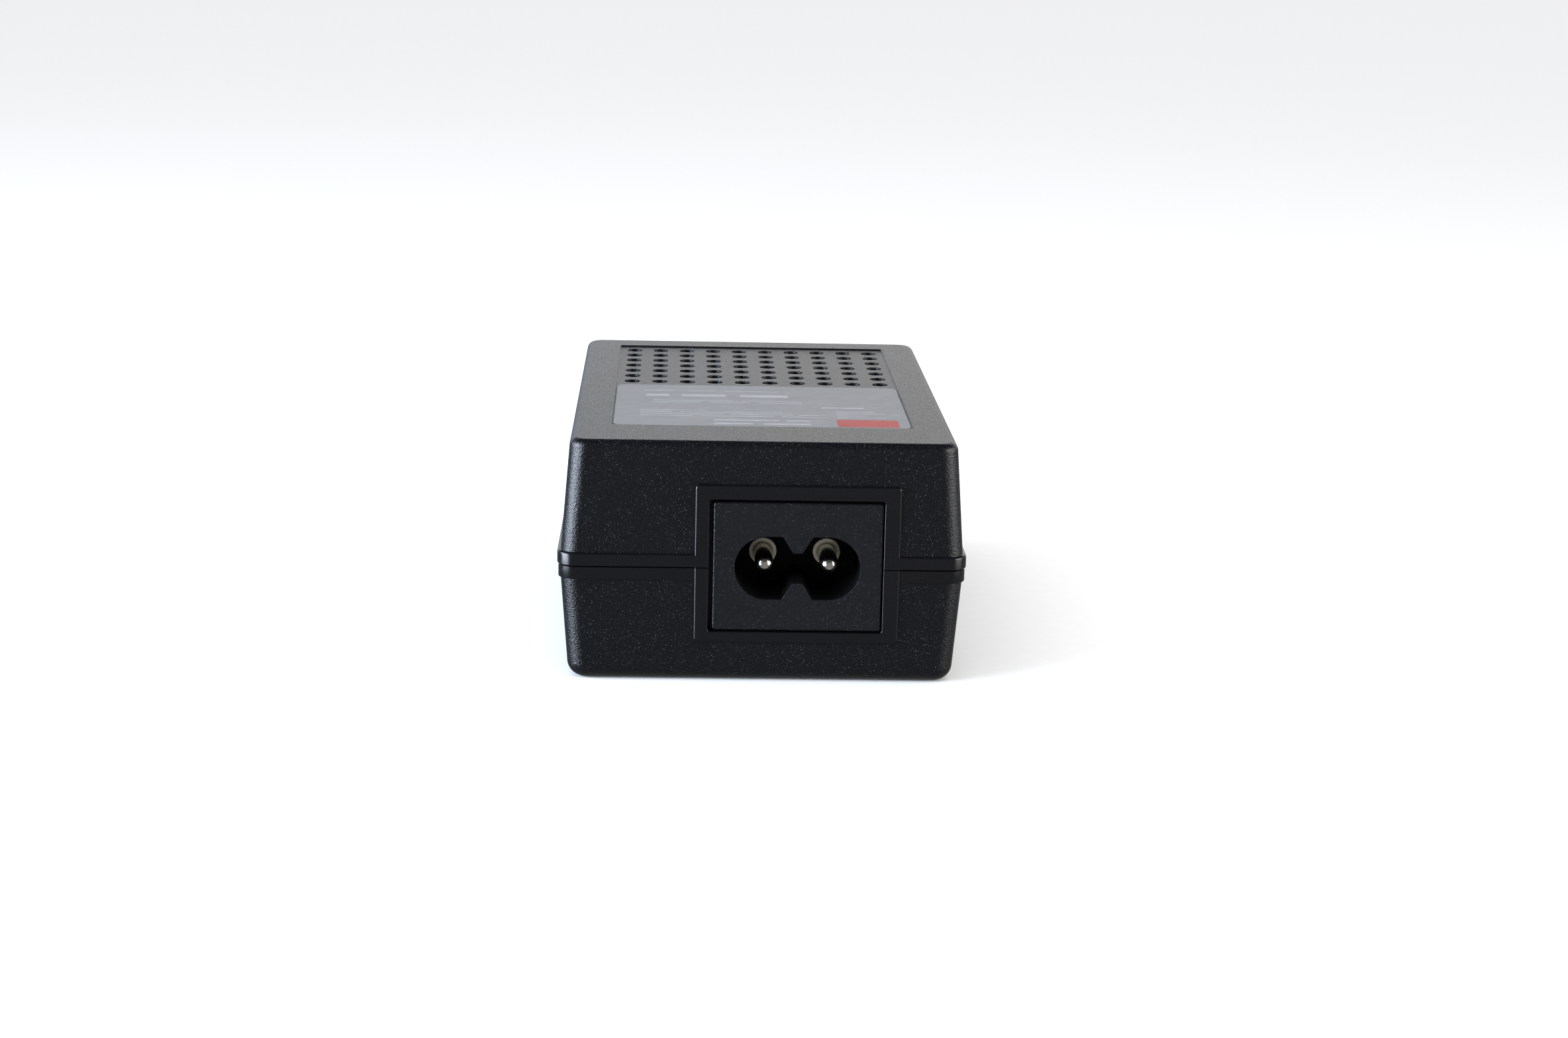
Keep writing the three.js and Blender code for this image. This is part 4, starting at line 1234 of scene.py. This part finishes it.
def build_contacts(name):
    """Eight spring wires, and the fixed bends that carry them out of the tongue."""
    low, high = JACK_BOXES[name]
    port_top = low.z + PORT_RISE + PORT_HEIGHT
    hinge = Vector((high.y + CONTACT_HINGE[0], port_top + CONTACT_HINGE[1]))
    tip = Vector((high.y + CONTACT_TIP[0], port_top + CONTACT_TIP[1]))
    knee = hinge + Vector((-4.5, -0.4))
    steps = 14
    bends = []
    for i in range(CONTACTS_PER_JACK):
        x = (low.x + high.x) / 2 + (i - (CONTACTS_PER_JACK - 1) / 2) * CONTACT_PITCH
        path = []
        for step in range(steps + 1):
            t = step / steps
            y, z = (1 - t) ** 2 * hinge + 2 * t * (1 - t) * knee + t ** 2 * tip
            path.append((x, y, z))
        wire = tube(f"{name}_wire_{i + 1}", path, CONTACT_RADIUS)
        place_piece(wire, [f"{name}_contact_{i + 1}"], f"{name}_contacts")
        loop = arc_points(hinge.x, hinge.y + BEND_RADIUS, BEND_RADIUS, 90, -60, 8)
        bends.append(tube("bend", [(x, y, z) for y, z in loop], CONTACT_RADIUS))
    place_piece(merged(f"{name}_wire_bends", bends))


def build_lamp():
    low, high = box_mm("status_led")
    centre_z = high.z - LAMP_FLANGE
    thickness = 0.8
    ease = 0.1
    flange_y = REAR - BAND_RELIEF - END_DRAFT - WALL - CAD_GAP - thickness
    length = high.y - flange_y
    profile = [
        (0, 0),
        (LAMP_FLANGE - ease, 0),
        (LAMP_FLANGE, ease),
        (LAMP_FLANGE, thickness - ease),
        (LAMP_FLANGE - ease, thickness),
        (LAMP_NOSE, thickness),
    ]
    for sink, inset in quarter_round(LAMP_NOSE - 0.03, 10):
        profile.append((LAMP_NOSE - inset, length - sink))
    profile.append((0, length))
    place = Matrix.Translation((0, flange_y, centre_z)) @ Matrix.Rotation(-math.pi / 2, 4, "X")
    lens = turned("lamp", profile, 32, (LAMP_LENS,), place)
    place_piece(lens, ["status_led"])
    legs = []
    for x in (-1.27, 1.27):
        turn_y = flange_y - 2.2
        turn = arc_points(turn_y, centre_z - 0.5, 0.5, 90, 180, 5)
        path = [(x, flange_y + 0.3, centre_z)]
        path += [(x, y, z) for y, z in turn]
        path.append((x, turn_y - 0.5, low.z + 0.2))
        legs.append(tube("leg", path, LEG_RADIUS, 10, (STEEL,)))
    place_piece(merged("lamp_legs", legs))


for jack_name in JACK_BOXES:
    build_jack_housing(jack_name)
    build_contact_carrier(jack_name)
    build_contacts(jack_name)
build_lamp()


# -------- remaining CAD nodes


NODE_EDGE = 0.12


def finish_cad_nodes():
    """Gives every CAD node its material, and eased edges where it still shows."""
    slots = {row["node"]: row["material_slot"] for row in frame["record"]["subparts"]}
    for name, node in frame["nodes"].items():
        material = SLOT_MATERIALS[slots[name]]
        node.data.materials.clear()
        node.data.materials.append(material)
        if node.hide_render:
            continue
        bevel = node.modifiers.new("eased_edges", "BEVEL")
        bevel.width = NODE_EDGE / METRE
        bevel.segments = 2
        bevel.limit_method = "ANGLE"
        bevel.angle_limit = math.radians(35)


finish_cad_nodes()


# -------- floor, light and camera


ROOM_LEVEL = 0.24
CEILING_LEVEL = 0.06
BACKDROP_LEVEL = 1.22
SIDE_LEVEL = 0.45
LEFT_STRIP_LEVEL = 25.5
RIGHT_STRIP_LEVEL = 2.9
LEFT_COLOUR = (0.78, 0.86, 1.0, 1.0)
RIGHT_COLOUR = (1.0, 0.995, 0.985, 1.0)
OVERHEAD_LEVEL = 2.7
FLOOR_REACH = 12000.0
CAMERA_LENS = 63.22
CAMERA_SENSOR = 36.0
CAMERA_PLACE = (-12.07, -389.4, 105.8)
CAMERA_TURN = {"heading": -2.41, "tilt": 13.40, "roll": 1.344}  # degrees


def build_floor():
    """White paper. Gloss doesn't see it, so that it doesn't wash out the black plastic."""
    reach = FLOOR_REACH
    corners = [(-reach, -reach, 0), (reach, -reach, 0), (reach, reach, 0), (-reach, reach, 0)]
    floor = make_piece("floor", corners, [(0, 1, 2, 3)])
    recipe = Recipe("floor_paper")
    fibre = recipe.noise(0.5, 4.0, 0.6)
    recipe.set(
        Base_Color=recipe.blend(fibre, (0.86, 0.86, 0.86), (0.9, 0.9, 0.9)),
        Roughness=recipe.varied(fibre, 0.75, 0.1),
        Specular_IOR_Level=0.1,
    )
    floor.data.materials.append(recipe.material)
    floor.visible_glossy = False


def softbox(name, place, aim, size, power, colour):
    """A rectangular soft light at `place`, turned to `aim`, in millimetres and watts."""
    data = bpy.data.lights.new(name, "AREA")
    data.shape = "RECTANGLE"
    data.size = size[0] / METRE
    data.size_y = size[1] / METRE
    data.energy = power
    data.color = colour
    light = bpy.data.objects.new(name, data)
    bpy.context.scene.collection.objects.link(light)
    light.location = Vector(place) / METRE
    light.rotation_mode = "QUATERNION"
    light.rotation_quaternion = (Vector(aim) - Vector(place)).to_track_quat("-Z", "Y")
    light.visible_camera = False
    return light


def build_overhead():
    """A very wide, soft light from above. It has no mirror image in the gloss."""
    data = bpy.data.lights.new("overhead", "SUN")
    data.energy = OVERHEAD_LEVEL
    data.angle = math.radians(110)
    light = bpy.data.objects.new("overhead", data)
    bpy.context.scene.collection.objects.link(light)
    light.visible_glossy = False


def build_world():
    """A dark studio: a bright band low behind the object, a dimmer one beside it, and a strip
    below the horizon on either side in front, which only the gloss sees."""
    world = bpy.data.worlds.new("studio")
    bpy.context.scene.world = world
    world.use_nodes = True
    nodes = NodeTree(world.node_tree)
    background = world.node_tree.nodes["Background"]
    place = nodes.node("ShaderNodeTexCoord").outputs["Generated"]
    split = nodes.node("ShaderNodeSeparateXYZ", {0: place})
    combine = nodes.math

    def graded(axis, start, end, low, high):
        return nodes.ramp(split.outputs[axis], start, end, low, high, "SMOOTHSTEP")

    rising = graded("Z", -0.04, 0.04, 0.0, 1.0)
    falling = graded("Z", 0.22, 0.55, 1.0, 0.0)
    around = graded("Y", -0.4, 0.1, 0.0, SIDE_LEVEL)
    behind = graded("Y", 0.2, 0.8, 0.0, BACKDROP_LEVEL - SIDE_LEVEL)
    band = combine("MULTIPLY", combine("ADD", around, behind), combine("MULTIPLY", rising, falling))
    beside_in, beside_out = graded("Y", -0.78, -0.6, 0.0, 1.0), graded("Y", -0.15, 0.1, 1.0, 0.0)
    beside = combine("MULTIPLY", beside_in, beside_out)
    low_in, low_out = graded("Z", -0.35, -0.05, 0.0, 1.0), graded("Z", 0.0, 0.1, 1.0, 0.0)
    low_down = combine("MULTIPLY", low_in, low_out)
    left = graded("X", -0.5, -0.2, LEFT_STRIP_LEVEL, 0.0)
    right = graded("X", 0.2, 0.5, 0.0, RIGHT_STRIP_LEVEL)
    strips = combine("ADD", left, right)
    strip = combine("MULTIPLY", strips, combine("MULTIPLY", beside, low_down))
    room = graded("Z", 0.1, 0.6, ROOM_LEVEL, CEILING_LEVEL)
    colours = {6: LEFT_COLOUR, 7: RIGHT_COLOUR}
    mixed = nodes.node("ShaderNodeMix", colours, data_type="RGBA")
    link = world.node_tree.links.new
    link(graded("X", -0.3, 0.1, 0.0, 1.0), mixed.inputs["Factor"])
    link(mixed.outputs[2], background.inputs["Color"])
    level = combine("MAXIMUM", strip, combine("MAXIMUM", band, room))
    link(level, background.inputs["Strength"])


def build_camera():
    data = bpy.data.cameras.new("camera")
    data.sensor_width = CAMERA_SENSOR
    data.lens = CAMERA_LENS
    data.clip_start = 0.01
    data.clip_end = 60.0
    camera = bpy.data.objects.new("camera", data)
    bpy.context.scene.collection.objects.link(camera)
    heading, tilt, roll = (math.radians(angle) for angle in CAMERA_TURN.values())
    camera.matrix_world = (
        Matrix.Translation(Vector(CAMERA_PLACE) / METRE)
        @ Matrix.Rotation(heading, 4, "Z")
        @ Matrix.Rotation(math.pi / 2 - tilt, 4, "X")
        @ Matrix.Rotation(roll, 4, "Z")
    )
    bpy.context.scene.camera = camera


build_floor()
build_world()
build_overhead()
softbox("left_light", (-455, -150, 150), (-25, -38, 20), (420, 260), 6.0, (0.72, 0.84, 1.0))
softbox("right_light", (440, -190, 150), (25, -38, 20), (360, 260), 2.0, (1.0, 0.99, 0.97))
build_camera()
bpy.context.scene.view_settings.view_transform = "Standard"
